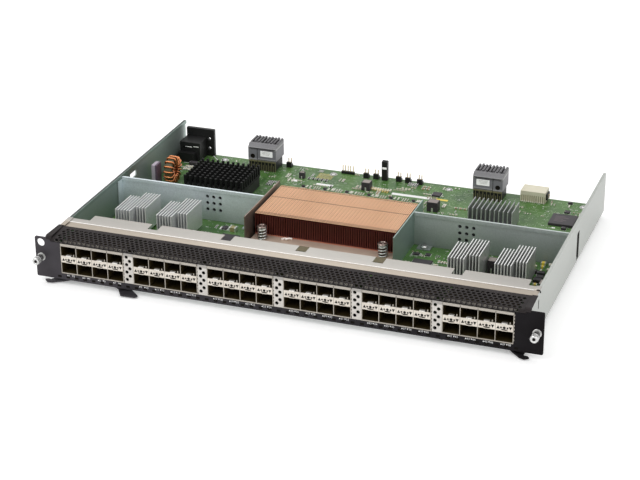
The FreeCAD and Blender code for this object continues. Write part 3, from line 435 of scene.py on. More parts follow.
# Painted light on the fin stacks: brighter at the left and dimmer towards the right, as the light falls off.
fin_aluminium_painted_falloff = graded(bare_aluminium, "fin_sheet_across", 0, -0.184, 0.182, [
    (0.0, (1.16, 1.16, 1.19)), (0.2, (1.12, 1.12, 1.15)), (0.8, 0.86), (1.0, 0.84)])
# Painted light on the air guides: a copper-brown cast at the left, a green cast at the right and brighter
# towards the rear, from light bounced off the sink and the board.
guide_zinc = graded(zinc, "guide_zinc", 0, -0.067, 0.068, [
    (0.0, (0.55, 0.40, 0.34)), (0.4, 0.8), (1.0, (0.64, 0.76, 0.71))])
guide_zinc = graded(guide_zinc, "guide_zinc_along", 1, 0.093, 0.177, [
    (0.0, 1.0), (0.35, (1.04, 1.07, 1.08)), (1.0, (1.08, 1.14, 1.16))])
# Painted highlight on the connector housings: a bright band just under the top edge, between darker bands,
# for the light on the upper lip.
connector_grey = graded(grey_plastic, "connector_grey", 2, 0.0165, 0.032, [
    (0.0, (0.58, 0.58, 0.62)), (0.60, (0.62, 0.62, 0.66)), (0.68, 0.50), (0.74, 1.15), (0.81, 1.15),
    (0.84, 0.54), (1.0, 0.50)])
cap_low, cap_high = span("filter_capacitor")
# Painted shade on the capacitor: its colour drops to a dark purple over the right part, where its side is in
# shade.
cap_film_painted_shade = graded(film_box, "film_box_sides", 0, cap_low[0] * MM, cap_high[0] * MM, [
    (0.0, (1.15, 1.12, 1.15)), (0.62, (1.1, 1.08, 1.1)), (0.74, (0.30, 0.24, 0.30)),
    (1.0, (0.26, 0.20, 0.26))])
of_slot = {"zinc_steel": zinc, "bare_steel": bare_sheet, "black_coat": face_coat_painted_sheen, "cage_nickel": nickel_cage,
           "board_mask": green_board, "copper": copper, "fin_aluminium": fin_aluminium_painted_falloff, "ferrite": ferrite,
           "black_anodised": black_aluminium, "black_plastic": black_plastic, "grey_plastic": grey_plastic,
           "ivory_plastic": ivory_plastic, "chip_black": chip_black, "enamelled_wire": enamel,
           "film_box": film_box, "screw_nickel": nickel, "spring_steel": spring_steel, "contact_gold": gold}


def dress(name, material):
    """Gives a CAD node its finish."""
    materials = frame["nodes"][name].data.materials
    materials.clear()
    materials.append(material)


for part in frame["record"]["subparts"]:
    dress(part["node"], of_slot[part["material_slot"]])
for side in SIDES:
    dress(side + "_air_guide", guide_zinc)
    dress(side + "_backplane_connector", connector_grey)
    dress(side + "_partition", partition_zinc)
dress("filter_capacitor", cap_film_painted_shade)
dress("chassis_tray", tray_zinc)
print("dressed", len(frame["nodes"]), "CAD nodes")

# %% [markdown]
# The hood is one sheet, punched with staggered round holes and folded down at the front. Cutting hundreds
# of holes with booleans is slow, so one cell with a hole is repeated flat and then bent: the pattern's
# second coordinate is the distance travelled along the hood's outline, and the third is depth in the sheet.
# %% The punched hood
HOLE_PITCH, ROW_PITCH, HOLE_RADIUS, HOLE_ROWS = 4.2, 3.64, 1.52, 6
HOOD_SHEET, HOOD_CORNER, HOOD_LIP = 0.9, 1.5, 1.2

hood_low, hood_high = span("top_grille")


def hood_line():
    """The outline from the lip's edge, up the front, round a quarter corner and back along the slope."""
    turn = np.linspace(0, np.pi / 2, 9)
    arc = HOOD_CORNER * stacked(1 - np.cos(turn), np.sin(turn) - 1) + [hood_low[1], hood_high[2] - HOOD_LIP]
    return np.concatenate([[hood_low[1:]], arc, [hood_high[1:]]])


def bent(shape, line):
    """Flat pattern (x, travel, depth) on an outline: place at that travel, less depth along the normal."""
    x, travel, depth = shape[0].T
    steps = np.linalg.norm(np.diff(line, axis=0), axis=1)
    tangent = np.diff(line, axis=0) / steps[:, None]
    corner = np.concatenate([tangent[:1], (tangent[1:] + tangent[:-1]) / 2, tangent[-1:]])
    passed = np.concatenate([[0], np.cumsum(steps)])
    y, z, ty, tz = (np.interp(travel, passed, column) for column in (*line.T, *corner.T))
    size = np.hypot(ty, tz)
    return stacked(x, y - depth * tz / size, z + depth * ty / size), shape[1]


def punched_cell(pitch, row, radius, sheet):
    """Four loops of sixteen points: cell edge and hole on the outer face, hole and cell edge on the inner."""
    t = np.linspace(-1, 1, 5)[:-1]
    edge = np.concatenate([stacked(t, -1), stacked(1, t), stacked(-t, 1), stacked(-1, -t)])
    edge = edge * [pitch / 2, row / 2]
    angle = np.radians(np.arange(16) * 22.5 - 135)
    hole = radius * stacked(np.cos(angle), np.sin(angle))
    return lofted([(edge, 0), (hole, 0), (hole, -sheet), (edge, -sheet)], 2)


across = int((hood_high[0] - hood_low[0] - 6) / HOLE_PITCH)
row = np.arange(HOLE_ROWS)
hole_x = (np.arange(across)[:, None] - (across - 1) / 2 + np.where(row % 2, 0.25, -0.25)) * HOLE_PITCH
cells = repeated(punched_cell(HOLE_PITCH, ROW_PITCH, HOLE_RADIUS, HOOD_SHEET),
                 stacked(hole_x, (row + 0.5) * ROW_PITCH, 0))
line = hood_line()
length = np.linalg.norm(np.diff(line, axis=0), axis=1).sum()
edges = np.arange(HOLE_ROWS * 4 + 1) * ROW_PITCH / 4
first, last = np.repeat(hole_x[0], 4) - HOLE_PITCH / 2, np.repeat(hole_x[-1], 4) + HOLE_PITCH / 2
margins = blocks(np.concatenate([stacked(hood_low[0], edges[:-1], -HOOD_SHEET, first, edges[1:], 0),
                                 stacked(last, edges[:-1], -HOOD_SHEET, hood_high[0], edges[1:], 0),
                                 [[hood_low[0], edges[-1], -HOOD_SHEET, hood_high[0], length, 0]]]), 0)
hood_coat = finish("hood_powder_coat", (0.0165, 0.0135, 0.0135), (0.033, 0.0275, 0.0275), (0.5, 0.62),
                   grain=2500, bump=0.05, patch=60, specular=0.14)
publish("punched_hood", bent(together([cells, margins]), line), hood_coat,
        replaces=["top_grille"])
# Bright arcs on the lower left side of each hole are painted highlights, for the light caught on the holes'
# edges.
RIM_RADIUS, RIM_WIRE = 1.5, 0.17
rim = np.radians(np.linspace(165, 330, 12))
rim_arc = wire(stacked(RIM_RADIUS * np.cos(rim), RIM_RADIUS * np.sin(rim), 0.02), RIM_WIRE, 6)
rims = repeated(rim_arc, stacked(hole_x[:, 0], ROW_PITCH / 2, 0))
rim_highlight_coat = finish("worn_hood_edge", (0.10, 0.092, 0.088), (0.17, 0.16, 0.15), (0.35, 0.5), metal=0.2,
                   grain=2500, bump=0.02, specular=0.4)
publish("hood_hole_rims", bent(rims, line), rim_highlight_coat, smooth=60)
print(hole_x.size, "holes in the hood")

# %% [markdown]
# At both ends the hood and the shroud reach over the folded tops of the side walls. Each reach is a narrow
# bent strip that lies just above the fold.
# %% Ends of the hood and the shroud


def bent_strip(line, width, sheet, corner=0.25):
    """A strip of sheet: an outline of (y, z) points, thickened down and back, narrowed at its two ends."""
    line = np.asarray(line, float)
    tangent = unit(np.gradient(line, axis=0))
    inner = line + sheet * stacked(tangent[:, 1], -tangent[:, 0])
    half = np.full(len(line), width / 2)
    half[[0, -1]] -= corner
    runs = ((-1, line), (1, line), (1, inner), (-1, inner))
    ring = np.stack([stacked(side * half, *run.T) for side, run in runs], 1)
    middle = np.repeat(ring[[0, -1]].mean(1, keepdims=True), 4, 1)
    return grid(np.concatenate([middle[:1], ring, middle[1:]]), wrap_v=True)


HOOD_REACH, SHROUD_REACH, HOOD_STRIP, SHROUD_STRIP = 208.4, 206.9, 5.6, 4.6
hood_end = bent_strip([(-0.3, 35.4), (-0.3, 37.2), (0.1, 38.0), (0.9, 38.6), (2.0, 38.8), (23.6, 38.8)],
                      HOOD_STRIP, 0.4, 0.6)
shroud_end = bent_strip([(23.8, 38.66), (33.0, 38.66), (33.6, 38.9), (40.2, 38.9)], SHROUD_STRIP, 0.3, 0.2)
both = np.array([[-1, 0, 0], [1, 0, 0]])
publish("hood_ends", repeated(hood_end, both * (HOOD_REACH - HOOD_STRIP / 2)), hood_coat)
publish("shroud_ends", repeated(shroud_end, both * (SHROUD_REACH - SHROUD_STRIP / 2)), shroud_sheet)
end_hook = wire([(204.4, 32.6, 38.7), (205.6, 32.4, 39.1), (206.9, 32.2, 39.0), (207.5, 32.0, 38.3),
                 (207.6, 31.8, 37.2)], 0.5)
publish("shroud_end_hook", end_hook, hood_coat, smooth=60)

# %% [markdown]
# The shroud closes the gap behind the hood: a long sheet with one shallow step, notched at its rear edge
# above the gaps between the cages. The step is bent, and the tongues between the notches are plain sheet.
# %% The stepped shroud
(left, near, bottom), (right, far, top) = span("port_shroud")
STEP_FRONT, STEP_REAR, SHROUD_REAR = 33.0, 33.5, 40.2
STEP, SHROUD_SHEET, RETURN = 0.6, 0.8, 0.8
NOTCH, NOTCH_SHIFT, CAGE_SPACING = 9.0, 4.2, 66.5
low_level = top - STEP
stepped = bent_strip([(near, low_level), (STEP_FRONT, low_level), (STEP_REAR, top), (SHROUD_REAR, top)],
                     right - left, SHROUD_SHEET, 0.0)
notch_x = NOTCH_SHIFT + (np.arange(5) - 2) * CAGE_SPACING
tabs = blocks(stacked([left + 17.1, *(notch_x + NOTCH / 2)], SHROUD_REAR, top - SHROUD_SHEET,
                      [*(notch_x - NOTCH / 2), right - 8.1], far, top), 0.03)
returns = blocks(stacked([left, right - RETURN], near, bottom, [left + RETURN, right], SHROUD_REAR,
                         low_level - RETURN), 0.05)
# A near-white strip along the step's bend is a painted highlight.
bend_highlight = finish("bright_bent_edge", (0.90, 0.88, 0.85), (0.98, 0.97, 0.95), (0.25, 0.35), metal=0.2,
                     bump=0.005)
bend = [left + 0.3, STEP_FRONT - 0.15, low_level + 0.1, right - 0.3, STEP_REAR + 0.25, top + 0.05]
publish("shroud_bright_edge", blocks(bend, 0.12), bend_highlight)
publish("stepped_shroud", together([stepped, tabs, returns]), shroud_sheet,
        replaces=["port_shroud"])

# %% [markdown]
# Behind each opening a cage is dark, because little light comes back out of a deep nickel box. That shade is
# painted into the sheet here: its colour darkens with depth behind the front plane, which holds from every
# side. The cage's top stays bright right behind the hood's bend, where the light falls on it through the
# first row of holes. Above the lip's level the colour is dimmed too, as painted shade under the hood's lip.
# %% Sheets with painted shade inwards
LIT_TOP = 0.0328              # above this level lies the cage's own top
LIT_BEHIND_BEND, HOOD_END, DARK_END = 0.0068, 0.0236, 0.0465


def deepening(base, name, start, end, dark):
    """A copy of a finish with painted shade: its colour falls to a near-black between two depths along Y, and
    is dimmed above 30.8 mm.
    """
    material, tree, fill, colour, (_, y, z) = copy_of(base, name)
    under_hood = maths(tree, "MULTIPLY", maths(tree, "LESS_THAN", y, HOOD_END),
                       maths(tree, "GREATER_THAN", y, LIT_BEHIND_BEND))
    covered = maths(tree, "MAXIMUM", maths(tree, "LESS_THAN", z, LIT_TOP), under_hood)
    covered = maths(tree, "MULTIPLY", covered, maths(tree, "LESS_THAN", y, DARK_END))
    inside = maths(tree, "MULTIPLY", ranged(tree, y, start, end), covered)
    # Painted shade under the hood's lip: above 30.8 mm the colour is dimmed to 0.62.
    rim = ranged(tree, z, 0.0300, 0.0308, 1.0, 0.62)
    colour = node(tree, "VectorMath", colour, None, None, rim, operation="SCALE")[0]
    fill(Base_Color=mixed(tree, inside, colour, dark), Metallic=ranged(tree, inside, 0, 1, 0.55, 0.0),
         Specular_IOR_Level=ranged(tree, inside, 0, 1, 0.5, 0.15))
    return material


WARM_SHADE = (0.042, 0.030, 0.012)
cage_sheet = deepening(nickel_cage, "nickel_cage_depth", -0.0005, 0.0004, WARM_SHADE)
nickel_edge = finish("nickel_edge", (0.38, 0.345, 0.295), (0.52, 0.48, 0.42), (0.3, 0.44), metal=0.55,
                     grain=1200, bump=0.008)
wall_sheet = deepening(nickel_edge, "nickel_edge_depth", -0.0005, 0.0004, WARM_SHADE)
# The tongues take a lighter copy of the cage nickel, which is a painted glint on their tops, and painted
# shade deeper in.
tongue = finish("sprung_tongue", (0.80, 0.765, 0.71), (0.92, 0.89, 0.84), (0.25, 0.36), metal=0.4, grain=1400)
tongue_glint_sheet = deepening(tongue, "sprung_tongue_depth", -0.0002, 0.0022, WARM_SHADE)
# The vent strips carry the same painted shade, near-black within a millimetre behind the front.
dress("vent_strips", deepening(bare_sheet, "vent_strip_depth", 0.0, 0.0010, (0.02, 0.017, 0.014)))
print("four sheets darken behind the front plane")

# %% [markdown]
# A cage is folded from thin sheet: a shell, a sill, walls between the columns and a band between the two
# rows. The same few boxes are counted from a cage's own left side and laid six times.
# %% The six port cages
COLUMN_PITCH, CAGE_SHEET = 14.25, 0.52
BAND_LOW, BAND_HIGH, BAND_DEPTH = 16.2, 22.2, 33.0
LIP_LOW, SILL_TOP = 31.0, 6.75
cage_names = ["port_cage_" + str(number) for number in range(1, 7)]
cage_spans = np.array([span(name) for name in cage_names])
cage_lefts = cage_spans[:, 0, 0]
FRONT, floor = cage_spans[0, 0, 1:]
wide, back, cage_top = cage_spans[0, 1] - [cage_lefts[0], 0, 0]
under, right = cage_top - 0.5, wide - CAGE_SHEET
each = np.arange(4) * COLUMN_PITCH
shell_rows = [(0, FRONT, under, wide, back, cage_top),
              (CAGE_SHEET, back - CAGE_SHEET, floor, right, back, under),
              (CAGE_SHEET, FRONT, LIP_LOW, right, FRONT + CAGE_SHEET, under)]
bands = stacked(each + CAGE_SHEET, FRONT, BAND_LOW, each + COLUMN_PITCH, BAND_DEPTH, BAND_HIGH)
wall_rows = [(0, FRONT, floor, CAGE_SHEET, back, under), (right, FRONT, floor, wide, back, under),
             (CAGE_SHEET, FRONT, floor, right, BAND_DEPTH, SILL_TOP)]
inner = stacked(each[1:], FRONT, SILL_TOP, each[1:] + CAGE_SHEET, back - CAGE_SHEET, under)
at_cages = stacked(cage_lefts, 0, 0)
publish("port_cages", repeated(blocks(np.concatenate([shell_rows, bands]), 0.06), at_cages), cage_sheet,
        replaces=cage_names)
publish("cage_walls", repeated(blocks(np.concatenate([wall_rows, inner]), 0.06), at_cages), wall_sheet)

# %% [markdown]
# Between the two rows of ports runs a band with the ends of light pipes: an upward triangle, three round
# dots and a downward triangle. A spring tongue rises from it into the upper port, and a curved slot frees
# the lower port's tongue. Each is one small template, repeated for every column.
# %% Light pipes and latch tongues
columns_x = (cage_lefts[:, None] + 0.35 + (np.arange(4) + 0.5)[None] * COLUMN_PITCH).ravel()
columns = stacked(columns_x, FRONT, (BAND_LOW + BAND_HIGH) / 2)


def extruded(outline, low, high):
    """A closed outline in the XZ plane carried along Y, closed by a fan at each end."""
    outline = np.asarray(outline, float)
    middle = outline * 0 + outline.mean(0)
    return lofted([(middle, low), (outline, low), (outline, high), (middle, high)], 1)


triangle = np.array([[-1.3, -1.25], [1.3, -1.25], [0, 1.45]])
dot = 0.78 * stacked(np.cos(np.arange(12) * np.pi / 6), np.sin(np.arange(12) * np.pi / 6))
lens_set = [extruded(triangle + [-5.0, -0.2], -0.05, 0.6),
            extruded(triangle * [1, -1] + [4.8, -0.2], -0.05, 0.6)]
lens_set += [extruded(size * dot + [at, -0.2], -0.05, 0.3) for at, size in ((-2.7, 1), (-0.1, 1.5), (2.5, 1))]
smoky = finish("smoky_light_pipe", (0.006, 0.005, 0.004), (0.018, 0.015, 0.012), (0.3, 0.4), grain=2500,
               bump=0.004, specular=0.2)
publish("light_pipes", repeated(together(lens_set), columns), smoky)
rise = (BAND_HIGH - BAND_LOW) / 2
upper_tongue = bent_strip([(0.0, rise - 0.2), (-0.45, rise + 0.1), (-0.6, rise + 0.5), (-0.4, rise + 0.85),
                           (0.3, rise + 1.0), (2.4, rise + 0.8), (7.0, rise + 0.2)], 4.6, 0.3)
publish("latch_tongues", repeated(upper_tongue, columns), tongue_glint_sheet, smooth=40)
hook = blocks([3.9, 0.5, rise + 0.2, 4.8, 2.0, rise + 2.0], 0.2)
lower_lip = bent_strip([(0.1, 0.5 - rise), (-0.22, 0.4 - rise), (-0.25, 0.15 - rise), (0.5, 0.0 - rise)],
                       4.2, 0.2)
publish("latch_hooks", repeated(together([hook, lower_lip]), columns), cage_sheet, smooth=40)

SLOT_RISE = 1.75
sweep = np.radians(np.linspace(200, 340, 12))
smile = np.concatenate([stacked(3.0 * np.cos(sweep), 1.15 * np.sin(sweep)),
                        stacked(2.8 * np.cos(sweep[::-1]), 0.25 * np.sin(sweep[::-1]))])
smile = smile - [0, rise] + [0, SLOT_RISE]
arc = lofted([(smile, -0.08), (smile, 0.2)], 1)
i = np.arange(11)
caps = np.concatenate([stacked(i, i + 1, 22 - i, 23 - i), stacked(24 + i, 47 - i, 46 - i, 25 + i)])
shade_slot = finish("shadowed_slot", (0.006, 0.005, 0.004), (0.010, 0.008, 0.006), (0.7, 0.8), specular=0.08)
publish("tongue_slots", repeated((arc[0], np.concatenate([arc[1], caps])), columns), shade_slot)

gap_x = cage_lefts + wide
publish("cage_side_gaps", blocks(stacked(gap_x, -0.26, 6.2, gap_x + 0.5, -0.06, 33.0), 0.02), shade_slot)
fingers = stacked(gap_x[:, None] + 0.12, -0.34, np.arange(8.5, 32, 3.1))
publish("gap_fingers", repeated(blocks([0, 0, 0, 0.32, 0.12, 1.7], 0.04), fingers), nickel_cage)

# %% [markdown]
# Under each column stand two port numbers with arrows to the upper and the lower row. The digits are the
# built-in font made into meshes once, and then laid out as arrays of points like everything else.
# %% Port numbers
DIGIT_HEIGHT, DIGIT_PITCH, NUMBER_LEVEL = 1.75, 1.3, 4.3


def mesh_arrays(mesh):
    """The points and the triangles of a mesh as arrays."""
    mesh.calc_loop_triangles()
    points = np.zeros(len(mesh.vertices) * 3)
    mesh.vertices.foreach_get("co", points)
    corners = np.zeros(len(mesh.loop_triangles) * 3, int)
    mesh.loop_triangles.foreach_get("vertices", corners)
    return points.reshape(-1, 3), corners.reshape(-1, 3)


def digit_shape(digit):
    """A digit as (points, triangles) in the XY plane, scaled to the digit height and centred."""
    text = bpy.data.curves.new("digit", "FONT")
    text.body = str(digit)
    holder = bpy.data.objects.new("digit", text)
    mesh = bpy.data.meshes.new_from_object(holder)
    points, faces = mesh_arrays(mesh)
    bpy.data.objects.remove(holder)
    bpy.data.meshes.remove(mesh)
    bpy.data.curves.remove(text)
    return (points - (points.min(0) + points.max(0)) / 2) * [1, 1, 0] * DIGIT_HEIGHT / 0.7, faces


digits = [digit_shape(digit) for digit in range(10)]
arrow = np.array([[-0.7, -0.6, 0], [0.7, -0.6, 0], [0, 0.75, 0]]), np.array([[0, 1, 2]])
arrow_down = arrow[0] * [1, -1, 1], arrow[1][:, ::-1]
marks = []
for column, x in enumerate(columns_x):
    for port, start, pointer in ((2 * column + 1, -0.9, arrow), (2 * column + 2, 3.7, arrow_down)):
        marks.append(repeated(pointer, [x + start - 1.35, NUMBER_LEVEL, 0.02]))
        marks += [repeated(digits[int(digit)], [x + start + place * DIGIT_PITCH, NUMBER_LEVEL, 0.02])
                  for place, digit in enumerate(str(port))]
flat, faces = together(marks)
white_print = finish("white_print", (0.84, 0.84, 0.83), (0.93, 0.93, 0.92), (0.5, 0.6), grain=2000,
                     bump=0.004)
publish("port_numbers", (stacked(flat[:, 0], -flat[:, 2], flat[:, 1]), faces), white_print,
        weld=False)

# %% [markdown]
# A captive thumbscrew has a knurled knob over a ferrule. Its whole side is one profile of (radius, height)
# turned round the axis, and the knurl is a ripple that makes the radius fall between neighbouring points.
# %% Thumbscrews with knurls and real coils
# The knob's nickel is a lighter copy of the sleeve's, a painted highlight for its lit side.
bright_nickel = finish("bright_nickel", (0.50, 0.50, 0.49), (0.72, 0.72, 0.71), (0.16, 0.28), metal=0.85,
                       grain=2200, stretch=(1, 1, 0.1))
SPRING_SEAT, PUSH_TRAVEL, KNURL_DEPTH = 0.5, 4.0, 0.24
KNURLED_POINTS = [7, 8, 11, 12]
for side in SIDES:
    low, high = span(side + "_thumbscrew")
    centre = (low + high) / 2 * [1, 0, 1]
    front, tip = low[1] + 2.2, high[1]
    knob = [(0, 1.8), (1.25, 1.8), (1.4, 0.3), (1.8, 0), (2.7, 0), (3.1, 0.4), (3.1, 1.8), (3.4, 2.0),
            (3.4, 3.4), (3.05, 3.6), (3.05, 4.0), (3.4, 4.2), (3.4, 6.2), (3.2, 6.5), (2.9, 6.5), (2.9, 2.3),
            (1.5, 2.3)]
    profile = [(radius, front + height) for radius, height in knob]
    profile += [(1.5, 2.6), (2.0, 2.6), (2.0, 3.4), (1.5, 3.4)]
    profile += [(1.5 - 0.22 * (step % 2), 3.6 + 0.25 * step) for step in range(17)] + [(1.1, tip), (0, tip)]
    knurl = np.zeros(len(profile))
    knurl[KNURLED_POINTS] = KNURL_DEPTH
    publish(side + "_knurled_screw", laid(turned(profile, 72, knurl), centre), bright_nickel,
            side + "_screw", [side + "_thumbscrew"], 30)
    recess = turned([(0, front + 0.9), (1.25, front + 0.9), (1.25, front + 1.2), (0, front + 1.2)], 6)
    publish(side + "_drive_recess", laid(recess, centre), shade_slot, side + "_screw")
    push = front + 2.35
    barrel, collar = push + 4.05, span(side + "_screw_ferrule")[1][1]
    sleeve = turned([(2.5, barrel), (2.8, barrel), (2.8, -0.7), (3.5, -0.6), (3.7, -0.4), (3.7, 0), (3.0, 0),
                     (3.0, 1.6), (3.8, 1.6), (3.8, collar), (1.7, collar), (1.7, SPRING_SEAT),
                     (2.5, SPRING_SEAT), (2.5, barrel)], 48)
    publish(side + "_sleeve", laid(sleeve, centre), nickel,
            replaces=[side + "_screw_ferrule"], smooth=30)
    disc = turned([(1.6, push), (2.4, push), (2.4, push + 0.55), (1.6, push + 0.55), (1.6, push)], 32)
    publish(side + "_push_washer", laid(disc, centre), spring_steel, side + "_washer_carrier",
            [side + "_spring_washer"], 30)
    spring = laid(coil(2.0, 0.28, push + 0.6, SPRING_SEAT, 6), centre)
    piece = publish(side + "_coil", spring, spring_steel, replaces=[side + "_screw_spring"],
                    smooth=60)
    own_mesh(piece)

# %% [markdown]
# The copper sink is a stack of folded sheets. Each fin is an upright web with a flange along its top that
# reaches the next fin, and small interlock notches run across the flanges in rows.
# %% The folded copper fins
FIN_PITCH, FIN_SHEET, NOTCH_ROWS = 1.6, 0.32, (1.6, 3.9, 38.5, 62.0)
(left, near, bottom), (right, far, top) = span("heatsink_fins")
fin_x = np.arange(left, right - FIN_PITCH / 2, FIN_PITCH)
shaded_web = finish("shaded_copper_web", (0.060, 0.008, 0.007), (0.13, 0.020, 0.016), (0.45, 0.6),
                    metal=0.35, stretch=(1, 1, 0.2), specular=0.2)
publish("copper_webs", blocks(stacked(fin_x, near, bottom, fin_x + FIN_SHEET, far, top - 0.1), 0.02),
        shaded_web, replaces=["heatsink_fins"])


def combed(base, name, first, pitch, share, shade):
    """A finish darkened on stripes: where the fraction of (x - first) over the pitch is below a share."""
    material, tree, fill, colour, here = copy_of(base, name)
    stripe = lane(tree, maths(tree, "SUBTRACT", here[0], first), pitch, share)
    factor = ranged(tree, stripe, 0, 1, 1.0, shade)
    fill(Base_Color=node(tree, "VectorMath", colour, None, None, factor, operation="SCALE")[0])
    return material


combed_copper = combed(copper, "combed_copper", left * MM + 0.0005, 2 * FIN_PITCH * MM, 0.5, 0.85)
flanges = stacked(fin_x, near, top - FIN_SHEET, fin_x + FIN_PITCH - 0.34, far, top)
publish("copper_flanges", blocks(flanges, 0.05), combed_copper)
lit_edge = finish("lit_fin_edge", (0.26, 0.055, 0.042), (0.44, 0.13, 0.10), (0.4, 0.55), metal=0.4)
edges = stacked(fin_x, near - 0.06, bottom + 0.4, fin_x + FIN_SHEET, near + 0.3, top - 1.2)
publish("copper_fin_edges", blocks(edges, 0.04), lit_edge)
foot = finish("lit_copper_foot", (0.52, 0.13, 0.075), (0.74, 0.26, 0.16), (0.3, 0.45), metal=0.4)
feet = stacked(fin_x, near - 0.15, bottom, fin_x + FIN_PITCH - 0.5, near + 0.25, bottom + 0.75)
publish("copper_feet", blocks(feet, 0.05), foot)
dress("heatsink_base", finish("aged_copper_plate", (0.46, 0.35, 0.275), (0.60, 0.47, 0.375), (0.4, 0.55),
                              metal=0.3, grain=1100, patch=70))
notch = blocks([-0.36, -0.75, -0.1, 0.36, 0.75, 0.03], 0.02)
dark_copper = finish("notch_shade", (0.045, 0.012, 0.006), (0.08, 0.025, 0.012), (0.5, 0.6), metal=0.2,
                     specular=0.2)
publish("interlock_notches", repeated(notch, stacked(fin_x[:, None] + 0.9, near + np.array(NOTCH_ROWS), top)),
        dark_copper)

# %% [markdown]
# Four spring screws press the sink down. Their springs are drawn here as true helices: the angle runs on
# evenly while the height follows it, flat at both ends where the spring is ground.
# %% Springs of the copper sink
(left, near, bottom), (right, far, head) = span("heatsink_springs")
REACH = 4.1
corners = stacked(np.array([[left + REACH], [right - REACH]]), [near + REACH, far - REACH], 0)
publish("sink_coils", repeated(coil(REACH - 0.4, 0.6, bottom, head, 5.0, 20), corners), spring_steel,
        replaces=["heatsink_springs"], smooth=60)
foot_z = span("heatsink_screws")[0][2]
rim = [(4.3, 0), (4.6, 0.3), (4.6, 0.9), (4.2, 1.4), (3.0, 1.5), (2.6, 0.9), (1.2, 0.7), (1.0, 0.2), (0, 0.2)]
bolt = turned([(0, foot_z), (1.5, foot_z), (1.5, bottom), (2.0, bottom), (2.0, head)]
              + [(radius, head + height) for radius, height in rim], 36)
screw_top = finish("blued_screw_top", (0.20, 0.15, 0.135), (0.36, 0.29, 0.26), (0.16, 0.26), metal=0.9)
publish("sink_bolts", repeated(bolt, corners), screw_top, replaces=["heatsink_screws"],
        smooth=30)
# A wire clip on the base; its near-white colour paints a bright reflection there.
clip = wire([(-37.2, 104.6, 14.9), (-35.4, 106.6, 15.2), (-33.6, 106.0, 15.6), (-33.0, 104.2, 15.4),
             (-32.2, 105.8, 15.7), (-30.6, 107.4, 15.5), (-28.8, 108.0, 14.9)], 0.95)
clip_highlight = finish("polished_clip", (0.95, 0.86, 0.80), (0.99, 0.94, 0.91), (0.25, 0.35), metal=0.15,
                    bump=0.005)
publish("base_clip", clip, clip_highlight, smooth=60)

# %% [markdown]
# The choke is a painted ring wound with thick enamelled wire. A rectangle of wire with rounded corners
# goes round the ring's section, once for each turn, and each turn leans a little as hand-wound wire does.
# %% The choke's winding
TURNS, WIRE, RING_SHEET = 15, 0.85, 5.1
choke_low, choke_high = span("choke_core")
half, _, outer = (choke_high - choke_low) / 2
inner, choke_middle = outer - RING_SHEET, (choke_low + choke_high) / 2
t = np.linspace(0, 2 * np.pi, 28, endpoint=False)
round_x, round_z = (np.sign(wave) * np.abs(wave) ** 0.45 for wave in (np.cos(t), np.sin(t)))
section = stacked(round_x * (half + WIRE + 0.1), 0.35 * np.sin(t),
                  round_z * (RING_SHEET / 2 + WIRE + 0.1) + (outer + inner) / 2)
loop, loop_faces = wire(section, WIRE, 8, closed=True)
angle = ((np.arange(TURNS) + 0.5) * 2 * np.pi / TURNS)[:, None]
x, y, z = loop.T
ring = stacked(x, y * np.cos(angle) - z * np.sin(angle), y * np.sin(angle) + z * np.cos(angle)) + choke_middle
ring_faces = loop_faces[None] + (np.arange(TURNS) * len(loop))[:, None, None]
publish("choke_turns", (ring, ring_faces.reshape(-1, 4)), enamel,
        replaces=["choke_winding"], smooth=60)
ring_profile = [(inner, 0.6 - half), (inner + 0.6, -half), (outer - 0.6, -half), (outer, 0.6 - half),
                (outer, half - 0.6), (outer - 0.6, half), (inner + 0.6, half), (inner, half - 0.6),
                (inner, 0.6 - half)]
core, core_faces = turned(ring_profile, 48)
publish("painted_core", (core[:, [2, 0, 1]] + choke_middle, core_faces), ferrite,
        replaces=["choke_core"], smooth=35)

# %% [markdown]
# The board is crowded with parts smaller than a grain of rice. Before any is placed, a map of the board in
# small squares notes where CAD parts already stand. Every triangle adds its own rectangle to the map: plus
# one at two opposite corners and minus one at the other two, so a running sum in both directions fills it.
# %% Where the board is free
CELL, LOW_PARTS, FRONT_LIMIT = 0.4, 9.0, 54.0
BLOCK_TRIES, DASH_TRIES, LABEL_TRIES, HOLE_TRIES = 420, 2600, 700, 1500
low_left = board_low[:2] + 1.5
size = ((board_high[:2] - board_low[:2] - 3.0) / CELL).astype(int)


def shell(name):
    """Points (mm) and triangles of a CAD node."""
    points, corners = mesh_arrays(frame["nodes"][name].data)
    return points / MM, corners


def crowded():
    """True in every square that a low triangle's rectangle covers, with a margin of one square."""
    steps = np.zeros(size + 1, int)
    for part in frame["record"]["subparts"]:
        if part["node"] in ("main_board", "chassis_tray"):
            continue
        points, corners = shell(part["node"])
        spots = points[corners]
        spots = spots[(spots[..., 2].min(1) < BOARD_TOP + LOW_PARTS) & (spots[..., 2].max(1) > BOARD_TOP)]
        low = np.clip(np.floor((spots[..., :2].min(1) - low_left) / CELL).astype(int) - 1, 0, size)
        high = np.clip(np.ceil((spots[..., :2].max(1) - low_left) / CELL).astype(int) + 1, 0, size)
        for a, b, sign in ((low, low, 1), (high, high, 1), (low, high, -1), (high, low, -1)):
            np.add.at(steps, (a[:, 0], b[:, 1]), sign)
    return steps.cumsum(0).cumsum(1)[:-1, :-1] > 0


taken = crowded()
taken[:, :int((FRONT_LIMIT - low_left[1]) / CELL)] = True


def claim(x, y, length, width, gap=0.15):
    """Takes a rectangle of the board if all of it is free, and says whether it did."""
    low = ((np.array([x - length / 2 - gap, y - width / 2 - gap]) - low_left) / CELL).astype(int)
    high = ((np.array([x + length / 2 + gap, y + width / 2 + gap]) - low_left) / CELL).astype(int) + 1
    if (low < 0).any() or (high >= size).any() or taken[low[0]:high[0], low[1]:high[1]].any():
        return False
    taken[low[0]:high[0], low[1]:high[1]] = True
    return True


print(round(100 * (1 - taken.mean())), "percent of the board is free")

